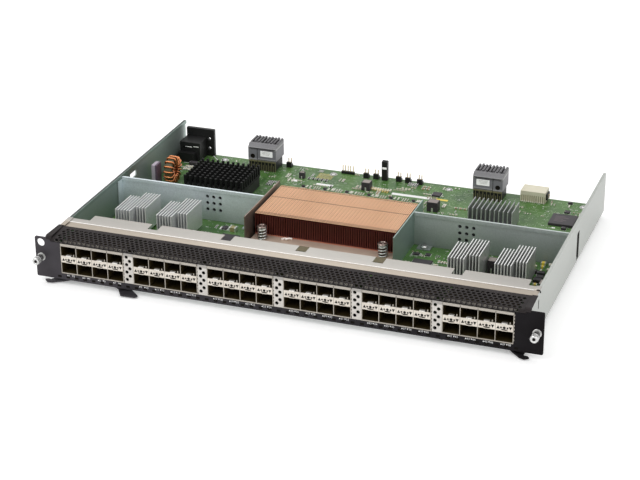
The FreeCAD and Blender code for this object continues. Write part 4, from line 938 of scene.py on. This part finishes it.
# %% [markdown]
# The parts come in a few sizes. Larger chips and coils have fixed places. Resistors and ceramic capacitors
# stand in neat rows and blocks, as a layout program puts them, and a random draw picks where each block
# goes. A two-ended part is a body and two tinned ends, which are drawn as separate pieces.
# %% Parts on the board
ceramic = finish("ceramic_body", (0.30, 0.20, 0.11), (0.52, 0.42, 0.28), (0.35, 0.5), patch=350)
cream = finish("cream_body", (0.55, 0.50, 0.36), (0.72, 0.67, 0.52), (0.35, 0.5), patch=350)
yellow = finish("yellow_label", (0.75, 0.56, 0.05), (0.88, 0.70, 0.12), (0.4, 0.5), grain=1200, bump=0.005)
gilt = finish("gilt_box", (0.30, 0.26, 0.12), (0.46, 0.40, 0.20), (0.35, 0.5), metal=0.2, patch=350)
KINDS = {"resistor": (1.6, 0.85, 0.45, chip_black), "ceramic": (1.6, 0.85, 0.8, ceramic),
         "large": (3.2, 1.7, 1.4, ceramic), "pale": (2.0, 1.25, 1.0, cream),
         "diode": (2.7, 1.5, 1.1, chip_black), "bar": (4.2, 1.4, 1.7, cream)}
END_SHARE = 0.22 * 0.9        # how much of a part's length each tinned end takes
CHIP_SHARE, KEPT_SHARE, LENGTHWISE = 0.05, 0.6, 0.7
BUSY_FROM = 176               # behind this line every drawn block is kept
bodies, chips = {}, []


def stand(x, y, length, width, height, material):
    """Adds a body and its two ends along the longer side."""
    axis = 0 if length > width else 1
    low = np.array([x - length / 2, y - width / 2, BOARD_TOP + 0.02])
    high = np.array([x + length / 2, y + width / 2, BOARD_TOP + height])
    end = END_SHARE * (length, width)[axis]
    body = np.array([low, high])
    body[:, axis] += [end, -end]
    bodies.setdefault(material.name, (material, []))[1].append(body.ravel())
    for side in (0, 1):
        cap = np.array([low - 0.02, high + 0.02])
        cap[:, axis] = sorted((body[side, axis], (low, high)[side][axis]))
        bodies.setdefault(tin.name, (tin, []))[1].append(cap.ravel())


def block_of(x, y, columns, rows, kind, upright, pitch=1.35):
    """A block of equal parts, where there is room; upright turns each by a right angle."""
    length, width, height, material = KINDS[kind]
    if upright:
        length, width = width, length
    for column in range(columns):
        for row in range(rows):
            px = x + (column - (columns - 1) / 2) * length * pitch
            py = y + (row - (rows - 1) / 2) * width * pitch
            if claim(px, py, length, width):
                stand(px, py, length, width, height, material)


def chip(x, y, length, width, height, leads=0.0, pitch=1.0):
    """A chip package, remembered with its leads for later."""
    if claim(x, y, length + 2 * leads, width + 0.6):
        chips.append((x, y, length, width, height, leads, pitch))


FIRST_CHIPS = [(52.0, 267.0, 9.0, 6.5, 1.6, 1.0), (-99.8, 128.0, 5.0, 6.0, 1.4, 1.7, 0.9)]
LONE_PARTS = [(-91.0, 125.5, 6.5, 5.0, 4.0, gilt), (184.0, 145.5, 4.2, 3.2, 3.0, yellow),
              (-160.6, 276.4, 4.0, 3.0, 2.0, tin), (63.8, 277.1, 4.0, 3.0, 2.0, tin),
              (178.3, 138.5, 3.4, 2.2, 2.4, cream), (184.6, 139.6, 3.0, 2.2, 2.2, yellow),
              (190.8, 134.6, 3.0, 2.6, 2.6, cream), (190.4, 144.8, 2.6, 3.4, 2.4, cream),
              (186.6, 104.6, 3.4, 2.4, 2.2, yellow)]
MORE_CHIPS = [(180.0, 129.0, 5.0, 4.0, 2.6), (187.0, 119.5, 6.0, 4.5, 2.4),
              (76.0, 131.5, 6.0, 4.0, 1.3, 0.9), (86.0, 133.0, 4.5, 4.5, 1.0), (183.5, 222.5, 4.0, 3.5, 2.2),
              (-184.5, 254.0, 8.0, 4.0, 3.6), (177.0, 279.0, 4.0, 2.4, 2.0),
              (-79.5, 262.4, 4.5, 3.6, 2.6, 0.8), (186.5, 112.5, 6.5, 5.0, 3.0),
              (186.5, 126.5, 6.5, 4.0, 3.0)]
for row in FIRST_CHIPS:
    chip(*row)
for row in LONE_PARTS:
    if claim(*row[:4]):
        stand(*row)
for row in MORE_CHIPS:
    chip(*row)
BEHIND_SINK, GROUP_START, GROUP_PITCH = 238.5, -66.8, 21.45
for number in range(6):
    x = GROUP_START + GROUP_PITCH * number
    chip(x, BEHIND_SINK, 2.8, 2.2, 1.8)
    block_of(x + 6.0, BEHIND_SINK + 0.6, 4, 2, "pale", True)
    block_of(x + 13.5, BEHIND_SINK + 0.2, 5, 3, "ceramic", True)
    block_of(x + 9.5, BEHIND_SINK + 3.6, 4, 1, "resistor", number % 2 == 0)
    block_of(x + 10.0, BEHIND_SINK - 4.5, 11, 3, "ceramic", number % 2 == 1)
for row in [(5.0, 253.6, 8, 1, "bar", True, 1.72), (29.0, 274.5, 5, 2, "diode", True),
            (43.0, 270.5, 2, 3, "large", False), (86.0, 236.5, 3, 2, "large", False),
            (70.0, 237.0, 2, 3, "pale", True), (22.0, 262.0, 4, 2, "pale", False),
            (110.0, 279.5, 7, 1, "pale", True)]:
    block_of(*row)


def anywhere(left, right, front, back):
    """A random place that far inside the board's sides and rear edge, behind a front limit."""
    return rng.uniform(board_low[0] + left, board_high[0] - right), rng.uniform(front, board_high[1] - back)


for _ in range(BLOCK_TRIES):
    x, y = anywhere(4, 4, FRONT_LIMIT, 4)
    kind = rng.choice(list(KINDS), p=[0.28, 0.32, 0.08, 0.22, 0.08, 0.02])
    columns, rows = rng.integers(1, 6), rng.integers(1, 4)
    if rng.random() < CHIP_SHARE:
        length = rng.uniform(3, 7)
        chip(x, y, length, length * rng.choice([1.0, 0.7]), rng.uniform(0.9, 1.6), rng.choice([0.0, 0.9]))
    elif y > BUSY_FROM or rng.random() < KEPT_SHARE:
        block_of(x, y, columns, rows, kind, rng.random() < 0.5, rng.uniform(1.3, 1.7))
for label, (material, rows) in bodies.items():
    publish("small_parts_" + label, blocks(rows, 0.12), material)

# %% [markdown]
# A chip is a slab with a broken edge, a round mark by its first lead and rows of bent leads on two sides.
# The marks and the leads are templates repeated at all of their places at once.
# %% Chips with their leads


def around(x, y, length, width, low, high):
    """Rows of boxes from their middles and their sizes, between two levels."""
    return stacked(x - length / 2, y - width / 2, low, x + length / 2, y + width / 2, high)


def leads_of(x0, x1, y, lead_half, length, height):
    """Two bent leads, as rows, at each place along a package between x0 and x1."""
    left, right = (stacked(a, y - lead_half, BOARD_TOP, b, y + lead_half, BOARD_TOP + height)
                   for a, b in ((x0 - length, x0), (x1, x1 + length)))
    return np.concatenate([left, right])


x, y, length, width, height, leads, pitch = np.array(chips).T
slabs = around(x, y, length, width, BOARD_TOP + 0.12, BOARD_TOP + height)
publish("chip_slabs", blocks(slabs, 0.22), chip_black)
counts = (width / pitch).astype(int)
lead_rows = []
for a, b, middle, n, step, reach in zip(slabs[:, 0], slabs[:, 3], y, counts, pitch, leads):
    if reach:
        lead_rows.append(leads_of(a, b, middle + (np.arange(n) - (n - 1) / 2) * step, 0.2, reach, 0.45))
publish("chip_leads", blocks(np.concatenate(lead_rows), 0.1), tin)
pin_mark = turned([(0, -0.02), (0.35, -0.02), (0.35, 0.02), (0, 0.02)], 8)
pale_print = finish("pale_print", (0.42, 0.41, 0.40), (0.56, 0.55, 0.53), (0.5, 0.6), bump=0.005)
marked = slabs[length > 3.5]
publish("pin_marks", repeated(pin_mark, marked[:, [0, 1, 5]] + [0.8, 0.8, 0]), pale_print)

# %% [markdown]
# White print on a board frames the parts and numbers them. Bars of bare board hold labels. Small plated
# holes join the copper layers, and a block of bare pads waits for a chip that this card does not carry.
# %% Print, labels, plated holes and bare pads
INK, INK_LINE, LABEL_HEIGHT, LABEL_PITCH = 0.03, 0.22, 1.3, 0.95
TRACKS_FROM, DASH, PAD_PITCH = 190, 0.3, 0.95
WHITE_BARS = [(-49.5, 249.3, 16.5, 3.6), (35.0, 250.0, 38.0, 4.6), (-79.4, 250.0, 5.5, 4.5),
              (174.2, 223.3, 3.0, 2.2)]
x0, x1 = x - length / 2 - leads - 0.5, x + length / 2 + leads + 0.5
y0, y1 = y - width / 2 - 0.5, y + width / 2 + 0.5
sides = [(x0, y0, x1, y0 + INK_LINE), (x0, y1 - INK_LINE, x1, y1), (x0, y0, x0 + INK_LINE, y1),
         (x1 - INK_LINE, y0, x1, y1)]
frames = np.concatenate([stacked(a, b, BOARD_TOP, c, d, BOARD_TOP + INK) for a, b, c, d in sides])
x, y, length, width = np.array(WHITE_BARS).T
bars = around(x, y, length, width, BOARD_TOP, BOARD_TOP + 0.06)
publish("board_ink", blocks(np.concatenate([frames, bars]), 0), white_print)
pale_track = finish("pale_track", (0.26, 0.36, 0.20), (0.46, 0.54, 0.38), (0.4, 0.55), bump=0.005)
dashes = []
for _ in range(DASH_TRIES):
    x, y = anywhere(5, 8, TRACKS_FROM, 4)
    long = rng.uniform(1.2, 4.5)
    length, width = (long, DASH) if rng.random() < LENGTHWISE else (DASH, long)
    if claim(x, y, length, width, 0.0):
        dashes.append(around(x, y, length, width, BOARD_TOP, BOARD_TOP + INK))
publish("print_dashes", blocks(dashes, 0), pale_track)
publish("yellow_label", blocks([57.8, 248.7, BOARD_TOP, 69.6, 252.1, BOARD_TOP + 0.08], 0.02), yellow)
labels = []
for _ in range(LABEL_TRIES):
    x, y = anywhere(5, 8, FRONT_LIMIT + 4, 4)
    if claim(x, y, 3.2, 1.5, 0.0):
        for place, digit in enumerate(rng.integers(0, 10, 3)):
            points, faces = digits[digit]
            spot = [x + (place - 1) * LABEL_PITCH, y, BOARD_TOP + INK]
            labels.append((points * LABEL_HEIGHT / DIGIT_HEIGHT + spot, faces))
publish("part_labels", together(labels), white_print, weld=False)
holes = []
for _ in range(HOLE_TRIES):
    x, y = anywhere(4, 4, FRONT_LIMIT + 2, 3)
    if claim(x, y, 0.5, 0.5, 0.0):
        holes.append([x, y, BOARD_TOP])
plating = turned([(0, 0), (0.32, 0), (0.32, 0.035), (0, 0.035)], 6)
publish("plated_holes", repeated(plating, holes), tin)
pads_x = -55.8 + (np.arange(16)[:, None] - 7.5) * PAD_PITCH
pads = stacked(pads_x, 268.5 + (np.arange(14) - 6.5) * PAD_PITCH, BOARD_TOP)
pad = turned([(0, 0), (0.3, 0), (0.3, 0.03), (0, 0.03)], 8)
publish("bare_pads", repeated(pad, pads), gold)
boxes = sum(len(rows) for _, rows in bodies.values())
print(len(chips), "chips,", boxes, "small boxes,", len(holes), "plated holes")

# %% [markdown]
# Several CAD nodes hold many equal solids. A node's corners that share an edge belong to one solid, so
# giving every corner the lowest number among its neighbours, until nothing changes, tells the solids apart.
# %% The separate solids of a node


def islands(name):
    """Low and high corners of a node's solids, from the labels that spread along its triangles."""
    points, corners = shell(name)
    spots, same = np.unique(points.round(3), axis=0, return_inverse=True)
    corners = same.reshape(-1)[corners]
    label, before = np.arange(len(spots)), None
    while before is None or (before != label).any():
        before = label.copy()
        np.minimum.at(label, corners, np.repeat(before[corners].min(1)[:, None], 3, 1))
    return np.array([(spots[label == tag].min(0), spots[label == tag].max(0)) for tag in np.unique(label)])


def feet_of(solids):
    """The middle of each solid, at height zero."""
    return solids.mean(1) * [1, 1, 0]


# %% [markdown]
# The machine screws get their real heads: a low dome with a cross recess. The dome is a turned profile.
# Four ripples per turn would not give a cross, so the recess is two small dark bars sunk into the dome.
# %% Screw heads
heads = islands("board_screws")
head_radius, head_top = (heads[0, 1, 0] - heads[0, 0, 0]) / 2, heads[0, 1, 2]
dome_turn = np.linspace(0, np.pi / 2, 7)
rise = head_top - BOARD_TOP - 0.3
dome = [(0.0, BOARD_TOP - 3.6), (1.3, BOARD_TOP - 3.6), (1.3, BOARD_TOP), (head_radius, BOARD_TOP)]
dome_z = BOARD_TOP + 0.3 + rise * np.sin(dome_turn)
dome = np.concatenate([dome, stacked(head_radius * np.cos(dome_turn), dome_z)])
at_heads = feet_of(heads)
publish("board_screw_heads", repeated(turned(dome, 20), at_heads), nickel,
        replaces=["board_screws"], smooth=40)
cross = blocks([(-1.5, -0.32, -0.5, 1.5, 0.32, -0.05), (-0.32, -1.5, -0.5, 0.32, 1.5, -0.05)], 0.05)
publish("screw_recesses", repeated(cross, at_heads + [0, 0, head_top]), shade_slot)
washer = turned([(1.9, 0), (3.6, 0), (3.6, 0.04), (1.9, 0.04), (1.9, 0)], 24)
publish("screw_lands", repeated(washer, at_heads + [0, 0, BOARD_TOP]), tin)

# %% [markdown]
# The power coils are moulded cubes with a flat terminal bent up at two sides. Their lighter top is a painted
# sheen.
# %% Terminals of the moulded coils
TAB_WIDTH, TAB_HEIGHT, TAB_SHEET = 0.17, 0.85, 0.18
coils = islands("inductors")
(x0, y0, z0), (x1, y1, z1) = coils[:, 0].T, coils[:, 1].T
x, half_x, tab_top = (x0 + x1) / 2, (x1 - x0) / 2 * TAB_WIDTH, BOARD_TOP + (z1 - z0) / 2 * TAB_HEIGHT
tabs = [stacked(x - half_x, a, BOARD_TOP, x + half_x, a + TAB_SHEET, tab_top) for a in (y0 - TAB_SHEET, y1)]
publish("coil_terminals", blocks(np.concatenate(tabs), 0.05), tin)
# The coils' lighter tops are a painted sheen.
coil_top_sheen = finish("dusty_top", (0.20, 0.17, 0.155), (0.36, 0.32, 0.29), (0.5, 0.65), bump=0.02)
tops = stacked(x0 + 0.5, y0 + 0.5, z1, x1 - 0.5, y1 - 0.5, z1 + 0.05)
publish("coil_tops", blocks(tops, 0.02), coil_top_sheen)

# %% [markdown]
# The CAD's flat packages and the memory chip get broken edges, leads and a faint print. The package that
# stands by the shroud's notch reaches a little further forward here.
# %% Flat packages
NOTCH_PACK_REAR, LEAD_PITCH = 125, 1.27
packs = islands("small_packages")
packs[packs[:, 1, 1] < NOTCH_PACK_REAR] += np.array([[[0.5, -8.5, 0], [3.0, -2.0, 0]]])
slabs = packs.reshape(-1, 6) + [0, 0, 0.12, 0, 0, 0]
publish("package_slabs", blocks(slabs, 0.25), chip_black, replaces=["small_packages"])
lead_rows = [leads_of(x0, x1, np.arange(y0 + 0.8, y1 - 0.5, LEAD_PITCH), 0.22, 0.9, 0.5)
             for x0, y0, _, x1, y1, _ in slabs]
publish("package_leads", blocks(np.concatenate(lead_rows), 0.1), tin)
(x, _, _), (_, y, top) = span("memory_chip")
y_rows = y - 6.0 - 2.6 * np.arange(5)
lines = stacked(x + 3.5, y_rows, top, x + 3.5 + np.array([9.0, 12.0, 7.5, 11.0, 8.5]), y_rows + 0.9,
                top + 0.03)
faint = finish("faint_print", (0.09, 0.07, 0.075), (0.14, 0.11, 0.115), (0.5, 0.6), bump=0.005)
publish("memory_print", blocks(lines, 0), faint)

# %% [markdown]
# The two backplane connectors are stacks of thin moulded wafers in a grey housing. The housing has a ribbed
# top, a slit under its upper edge, a groove beside a guide hole and a paper label. Under it stand the legs
# of the wafers. Both connectors use one function, mirrored by the sign of the groove's side.
# %% Backplane connectors
label_paper = finish("label_paper", (0.90, 0.90, 0.89), (0.97, 0.97, 0.96), (0.5, 0.65), grain=900)
# The labels and the socket band glow faintly: painted light that keeps them white in the shade of the fronts.
filler(label_paper.node_tree)(Emission_Color=(1, 1, 1, 1), Emission_Strength=0.22)
olive = finish("olive_moulding", (0.12, 0.115, 0.055), (0.22, 0.20, 0.11), (0.4, 0.55), bump=0.02)
dark_grey = finish("dark_grey_moulding", (0.085, 0.083, 0.088), (0.15, 0.147, 0.155), (0.4, 0.52),
                   grain=1800, bump=0.02)
RIBS, LEGS = 9, 16


def dress_connector(side, mirror):
    """Bars, grooves, label, ribs and legs of one connector; on its face u runs from the guide hole's side."""
    low, high = span(side + "_backplane_connector")
    middle, width, front = (low[0] + high[0]) / 2, high[0] - low[0], low[1]

    def face(u0, u1, z0, z1, proud=0.04, sunk=0.1):
        """A box on the front face: proud of it and sunk in it by so much, with X from the middle and u."""
        ends = sorted(middle - mirror * width / 2 + mirror * u for u in (u0, u1))
        return [ends[0], front - proud, z0, ends[1], front + sunk, z1]

    rib = np.arange(RIBS)
    rib_x = low[0] + 1.2 + rib * (width - 2.4) / (RIBS - 1)
    rib_top = high[2] + 1.1 + 0.5 * (rib % 2)
    leg = np.arange(LEGS)
    leg_x = low[0] + 1.0 + leg * (width - 2.0) / (LEGS - 1)
    pieces = [
        ("_face_grooves", shade_slot, "black_plastic", 0.03,
         [face(0.6, width - 0.6, 28.0, 28.5), face(8.9, 9.4, 17.4, 28.0),
          face(9.4, width - 0.8, 17.0, 17.3)]),
        ("_face_bars", grey_plastic, "grey_plastic", 0.03,
         [face(0.3, width - 0.3, 28.7, 29.5, 0.45), face(9.6, width - 0.5, 17.4, 18.4, 0.3),
          face(0.4, 8.7, 17.0, 18.0, 0.25)]),
        ("_label", label_paper, "ivory_plastic", 0.03, face(12.4, 24.6, 20.7, 26.3, 0.08)),
        ("_label_print", pale_print, "ivory_plastic", 0,
         [face(13.6 + 0.4 * line, 22.8 - 0.7 * line, 25.0 - 1.3 * line, 25.45 - 1.3 * line, 0.1)
          for line in range(3)]),
        ("_top_ribs", dark_grey, "grey_plastic", 0.3,
         stacked(rib_x - 0.85, front + 7.0, high[2] - 0.4, rib_x + 0.85, high[1] - 0.3, rib_top)),
        ("_top_gaps", shade_slot, "black_plastic", 0.02,
         stacked(rib_x[:-1] + 0.9, front + 6.5, high[2] - 0.1, rib_x[:-1] + 1.13, high[1] - 0.3,
                 high[2] + 0.25)),
        ("_wafer_legs", olive, "black_plastic", 0.08,
         stacked(leg_x - 0.28, front + 0.15, BOARD_TOP, leg_x + 0.28, front + 0.9,
                 12.0 + 3.9 * (leg % 2))),
        ("_wafer_skirt", olive, "black_plastic", 0.15,
         [face(0.5, 9.0, 14.9, 16.4, 0.5, 1.2), face(9.5, width - 0.5, 14.9, 16.4, 0.2, 1.2)])]
    for name, material, slot, chamfer, rows in pieces:
        publish(side + name, blocks(rows, chamfer), material)
    hole = turned([(0, -0.3), (2.25, -0.3), (2.25, 0.35), (0, 0.35)], 24)
    hole_x = middle - mirror * (width / 2 - 4.6)
    publish(side + "_guide_hole", laid(hole, (hole_x, front + 0.2, 20.2)), shade_slot,
            smooth=30)


dress_connector("left", 1)
dress_connector("right", -1)

# %% [markdown]
# The power inlet is a black moulding with a bright contact seen through its slit. The ivory connector has
# two rows of pins behind a black insert, and each header carries a black jumper cap in front of it.
# %% Power inlet, ivory connector and headers
front = span("power_connector")[0][1]
inlet = [(-194.6, front - 0.05, 21.7, -188.0, front + 0.4, 22.3),
         (-186.4, front - 0.05, 22.3, -181.2, front + 0.4, 23.1),
         (-196.5, front - 2.0, BOARD_TOP, -184.0, front - 1.4, BOARD_TOP + 0.5)]
publish("inlet_contact", blocks(inlet, 0.1), tin)
(left, near, _), (right, _, top) = span("signal_connector")
publish("ivory_insert", blocks([right, 275.0, BOARD_TOP + 2.5, right + 1.6, 284.0, top - 2.5], 0.3),
        black_plastic)
groove_x = np.arange(left + 1.0, right - 0.5, 1.95)
grooves = stacked(groove_x, near - 0.03, BOARD_TOP + 0.4, groove_x + 0.55, near + 0.17, BOARD_TOP + 6.8)
shaded_ivory = finish("shaded_ivory", (0.26, 0.23, 0.14), (0.36, 0.32, 0.21), (0.5, 0.6))
publish("ivory_grooves", blocks(grooves, 0.08), shaded_ivory)
tails = stacked(np.arange(left + 1.5, right - 1, 2.0)[:, None], [near - 1.1, near - 0.5], BOARD_TOP)
publish("ivory_solder_tails", repeated(blocks([0, 0, 0, 0.5, 0.45, 1.1], 0.1), tails), tin)
side_pins = stacked(right + 1.6, 278.0, np.arange(BOARD_TOP + 3.5, top - 2.6, 1.6))
publish("ivory_side_pins", repeated(blocks([0, 0, 0, 1.2, 0.5, 0.5], 0.1), side_pins), gold)
bases = islands("header_bases")
(x0, y, _), (x1, _, _) = bases[np.ptp(bases[:, :, 0], 1) < 7].transpose(1, 2, 0)
middle = (x0 + x1) / 2
caps = np.concatenate([stacked(a, y - 2.5, BOARD_TOP + 0.1, b, y - 0.1, BOARD_TOP + 5.4)
                       for a, b in ((x0, middle - 0.12), (middle + 0.12, x1))])
publish("jumper_caps", blocks(caps, 0.35), black_plastic)
cap_tops = stacked((caps[:, 0] + caps[:, 3]) / 2, (caps[:, 1] + caps[:, 4]) / 2, caps[:, 5])
publish("jumper_contacts", repeated(blocks([-0.5, -0.3, -0.2, 0.5, 0.3, 0.03], 0.02), cap_tops), gold)
(left, near, _), (right, _, _) = span("debug_connector")
publish("socket_band", blocks([left + 0.6, near - 0.05, 17.4, right - 0.6, near + 0.1, 19.4], 0.05),
        label_paper)
seam = stacked([-177.0, -174.0, -166.4], [283.0, 280.0, 271.6], BOARD_TOP + 0.1)
publish("white_seam", wire(seam, 0.45, 6), white_print, smooth=60)

# %% [markdown]
# The processor's sink is drawn again with evenly spaced fins on one plate, as thin plates with a bright top
# edge. The fins' bright edges are painted highlights, where the light catches them, and the processor's broad
# fin sides take a dimmer copy of the aluminium as painted shade. The port sinks' edges are found in their own
# meshes: a fin's foremost and rearmost point near its X.
# %% Fins with painted highlights on their edges
SINK_FINS, SINK_SHEET, PLATE = 11, 0.9, 2.0
(left, near, bottom), (right, far, top) = span("processor_heatsink")
fin_x = np.linspace(left, right - SINK_SHEET, SINK_FINS)
fins = blocks(stacked(fin_x, near, bottom + PLATE - 0.2, fin_x + SINK_SHEET, far, top), 0.12)
plate = blocks([left, near, bottom, right, far, bottom + PLATE], 0.2)
dim_aluminium = finish("dim_aluminium", (0.30, 0.31, 0.31), (0.42, 0.43, 0.43), (0.30, 0.44), metal=0.6,
                       grain=1100, stretch=(1, 0.2, 1))
publish("processor_fins", together([fins, plate]), dim_aluminium,
        replaces=["processor_heatsink"])
fin_edges = stacked(fin_x, near - 0.06, bottom + PLATE, fin_x + SINK_SHEET, near + 0.2, top)
publish("processor_fin_edges", blocks(fin_edges, 0.1), bare_aluminium)

PORT_FINS, PORT_SHEET = 10, 0.8
edge_rows = []
for number in range(1, 5):
    points, _ = shell("port_heatsink_" + str(number))
    low, high = points.min(0), points.max(0)
    for x in np.linspace(low[0], high[0] - PORT_SHEET, PORT_FINS):
        own = points[(np.abs(points[:, 0] - x - PORT_SHEET / 2) < 0.6) & (points[:, 2] > high[2] - 2)]
        start, end = own[:, 1].min(), own[:, 1].max()
        edge_rows += [(x, start - 0.06, low[2] + 2.6, x + PORT_SHEET, start + 0.25, high[2] + 0.04),
                      (x, start, high[2] - 0.2, x + PORT_SHEET, end, high[2] + 0.05)]
fin_edge_highlight = finish("fresh_cut_edge", (0.80, 0.80, 0.79), (0.92, 0.92, 0.91), (0.3, 0.42), metal=0.3)
publish("fin_edges", blocks(edge_rows, 0.1), fin_edge_highlight)

# %% [markdown]
# Behind the holes of each partition, behind the slit of the right side wall and behind the small slots of the
# front, a thin near-black sheet pressed flat against the metal paints the shade seen through them. Push pins
# with coils hold the port sinks, and a few last trims finish the walls and the board; the dark strips on the
# walls are painted shade as well.
# %% Painted shade behind the holes and the last trims
HOLES_X, HOLES_Z, SLOT_PITCH = tray_high[0] - 91.8, 22.9, 7.9
wall_x, wall_top = tray_high[0], tray_high[2]
shade_sheets = [(wall_x - 1.8, 167.5, 7.2, wall_x - 1.2, 174.8, 29.0), (-203.5, 1.6, 1.4, 203.5, 1.75, 3.8)]
for side, x in zip(SIDES, (-HOLES_X, HOLES_X)):
    rear = span(side + "_partition")[1][1]
    shade_sheets.append((x - 9.5, rear, HOLES_Z - 9.0, x + 9.5, rear + 0.2, HOLES_Z + 9.0))
shade_sheet_finish = finish("black_film", (0.010, 0.010, 0.011), (0.022, 0.022, 0.024), (0.35, 0.5), grain=900, bump=0.02,
              specular=0.2)
publish("duct_films", blocks(shade_sheets, 0.05), shade_sheet_finish)
pin_coil = coil(1.75, 0.28, 8.6, 14.6, 5, 12)
publish("push_pin_coils", repeated(pin_coil, feet_of(islands("heatsink_push_pins"))), spring_steel,
        smooth=60)
# Dark plugs in the small front slots are painted shade.
slots = stacked(np.arange(-25, 26) * SLOT_PITCH, 0, 0)
publish("small_slot_films", repeated(blocks([-1.65, -0.05, 1.55, 1.65, 1.0, 3.5], 0.02), slots), shade_slot)
number = np.arange(8)
comb = stacked(2.4 * number - 5.2, 256.6 - 0.45 * number, BOARD_TOP)
publish("pad_comb", repeated(blocks([-0.5, -5.0, 0, 0.5, 0, 1.4], 0.2), comb), gold)
# A dark strip along the top of the left wall is painted shade.
wall_top_shade = finish("dull_cut_edge", (0.055, 0.065, 0.058), (0.10, 0.115, 0.105), (0.5, 0.65), metal=0.3,
                  grain=1200, specular=0.2)
publish("left_wall_edge", blocks([-wall_x - 0.05, 24.0, wall_top - 0.5, -wall_x + 2.0, 284.6,
                                  wall_top + 0.06], 0.05), wall_top_shade)
# Dark strips at the right wall's slit and near its front end paint the shade there.
wall_shade_strips = [(wall_x - 0.2, 170.4, 3.0, wall_x + 0.06, 177.4, 28.4),
           (wall_x - 0.2, 29.2, 24.0, wall_x + 0.06, 31.2, 31.6)]
publish("wall_gasket", blocks(wall_shade_strips, 0.05), shade_slot)

# %% [markdown]
# The card is shown on a plain pale floor under soft lamps, from the front left and above. The camera is
# a long lens far away, so the rows of ports stay nearly parallel. The floor shows white to the camera and
# to reflections, and it keeps the card's soft shadow.
# %% Floor, lamps and camera
FLOOR_SIZE, FLOOR_DROP = 6.0, 0.0002
PAPER_LIFT = 0.27         # white added to what the camera and reflections see of the floor
WHITE = (1, 1, 1, 1)


def seen(tree, *rays):
    """1 for the kinds of ray that are named, and 0 for the light that falls on the card."""
    path = node(tree, "LightPath")
    share = path["Is Camera Ray"]
    for ray in rays:
        share = maths(tree, "MAXIMUM", share, path[ray])
    return share


def floor_finish():
    """Pale matt floor; camera and glossy rays see some white added to it, so it reads as white paper."""
    material, tree, fill, here = fresh("pale_floor")
    grain = node(tree, "TexNoise", here, None, 3.0)[0]
    lift = maths(tree, "MULTIPLY", seen(tree, "Is Glossy Ray"), PAPER_LIFT)
    fill(Base_Color=mixed(tree, grain, (0.93,) * 3, (0.96,) * 3), Roughness=0.9, Specular_IOR_Level=0.1,
         Emission_Color=WHITE, Emission_Strength=lift)
    return material


def place(name, data):
    """An object that shows some data in the scene."""
    made = bpy.data.objects.new(name, data)
    bpy.context.scene.collection.objects.link(made)
    return made


side = np.linspace(-FLOOR_SIZE / 2, FLOOR_SIZE / 2, 9)
level = np.full((9, 9), cad_box[0][2] - FLOOR_DROP)
points, faces = grid(np.dstack([*np.meshgrid(side, side, indexing="ij"), level]))
paper = bpy.data.meshes.new("floor")
paper.from_pydata(points.tolist(), [], faces[:, ::-1].tolist())
paper.materials.append(floor_finish())
place("floor", paper)
LAMPS = [("key_lamp", (-0.9, -0.9, 1.5), 1.2, 11.5), ("fill_lamp", (1.3, -0.6, 1.0), 1.4, 5),
         ("top_lamp", (0.1, 0.5, 1.7), 1.6, 9)]
LAMP_AIM = Vector((0, 0.1, 0))
for name, spot, width, power in LAMPS:
    light = bpy.data.lights.new(name, "AREA")
    light.size, light.energy = width, power
    lamp = place(name, light)
    lamp.location = spot
    lamp.rotation_euler = (LAMP_AIM - Vector(spot)).to_track_quat("-Z", "Y").to_euler()

world = bpy.data.worlds.new("studio")
world.use_nodes = True
sky = world.node_tree
background = sky.nodes["Background"]
background.inputs["Color"].default_value = WHITE
background.inputs["Strength"].default_value = 0.55
shown = node(sky, "MixShader", seen(sky, "Is Glossy Ray", "Is Transmission Ray"), background.outputs[0],
             node(sky, "Background", WHITE, 1.0)[0])
plug(sky, sky.nodes["World Output"].inputs["Surface"], shown[0])
bpy.context.scene.world = world
bpy.context.scene.view_settings.view_transform = "Standard"

AHEAD, ROLL = Vector((-0.3105, 0.8531, -0.4193)), math.radians(-0.44)
lens = bpy.data.cameras.new("camera")
lens.lens, lens.sensor_width = 103.1, 36
lens.clip_start, lens.clip_end = 0.01, 50
camera = place("camera", lens)
roll = Matrix.Rotation(ROLL, 3, "Z").to_quaternion()
camera.rotation_euler = (AHEAD.to_track_quat("-Z", "Y") @ roll).to_euler()
camera.location = (0.4846, -1.2322, 0.6766)
bpy.context.scene.camera = camera
print("camera", camera.location[:], "looks along", AHEAD[:])
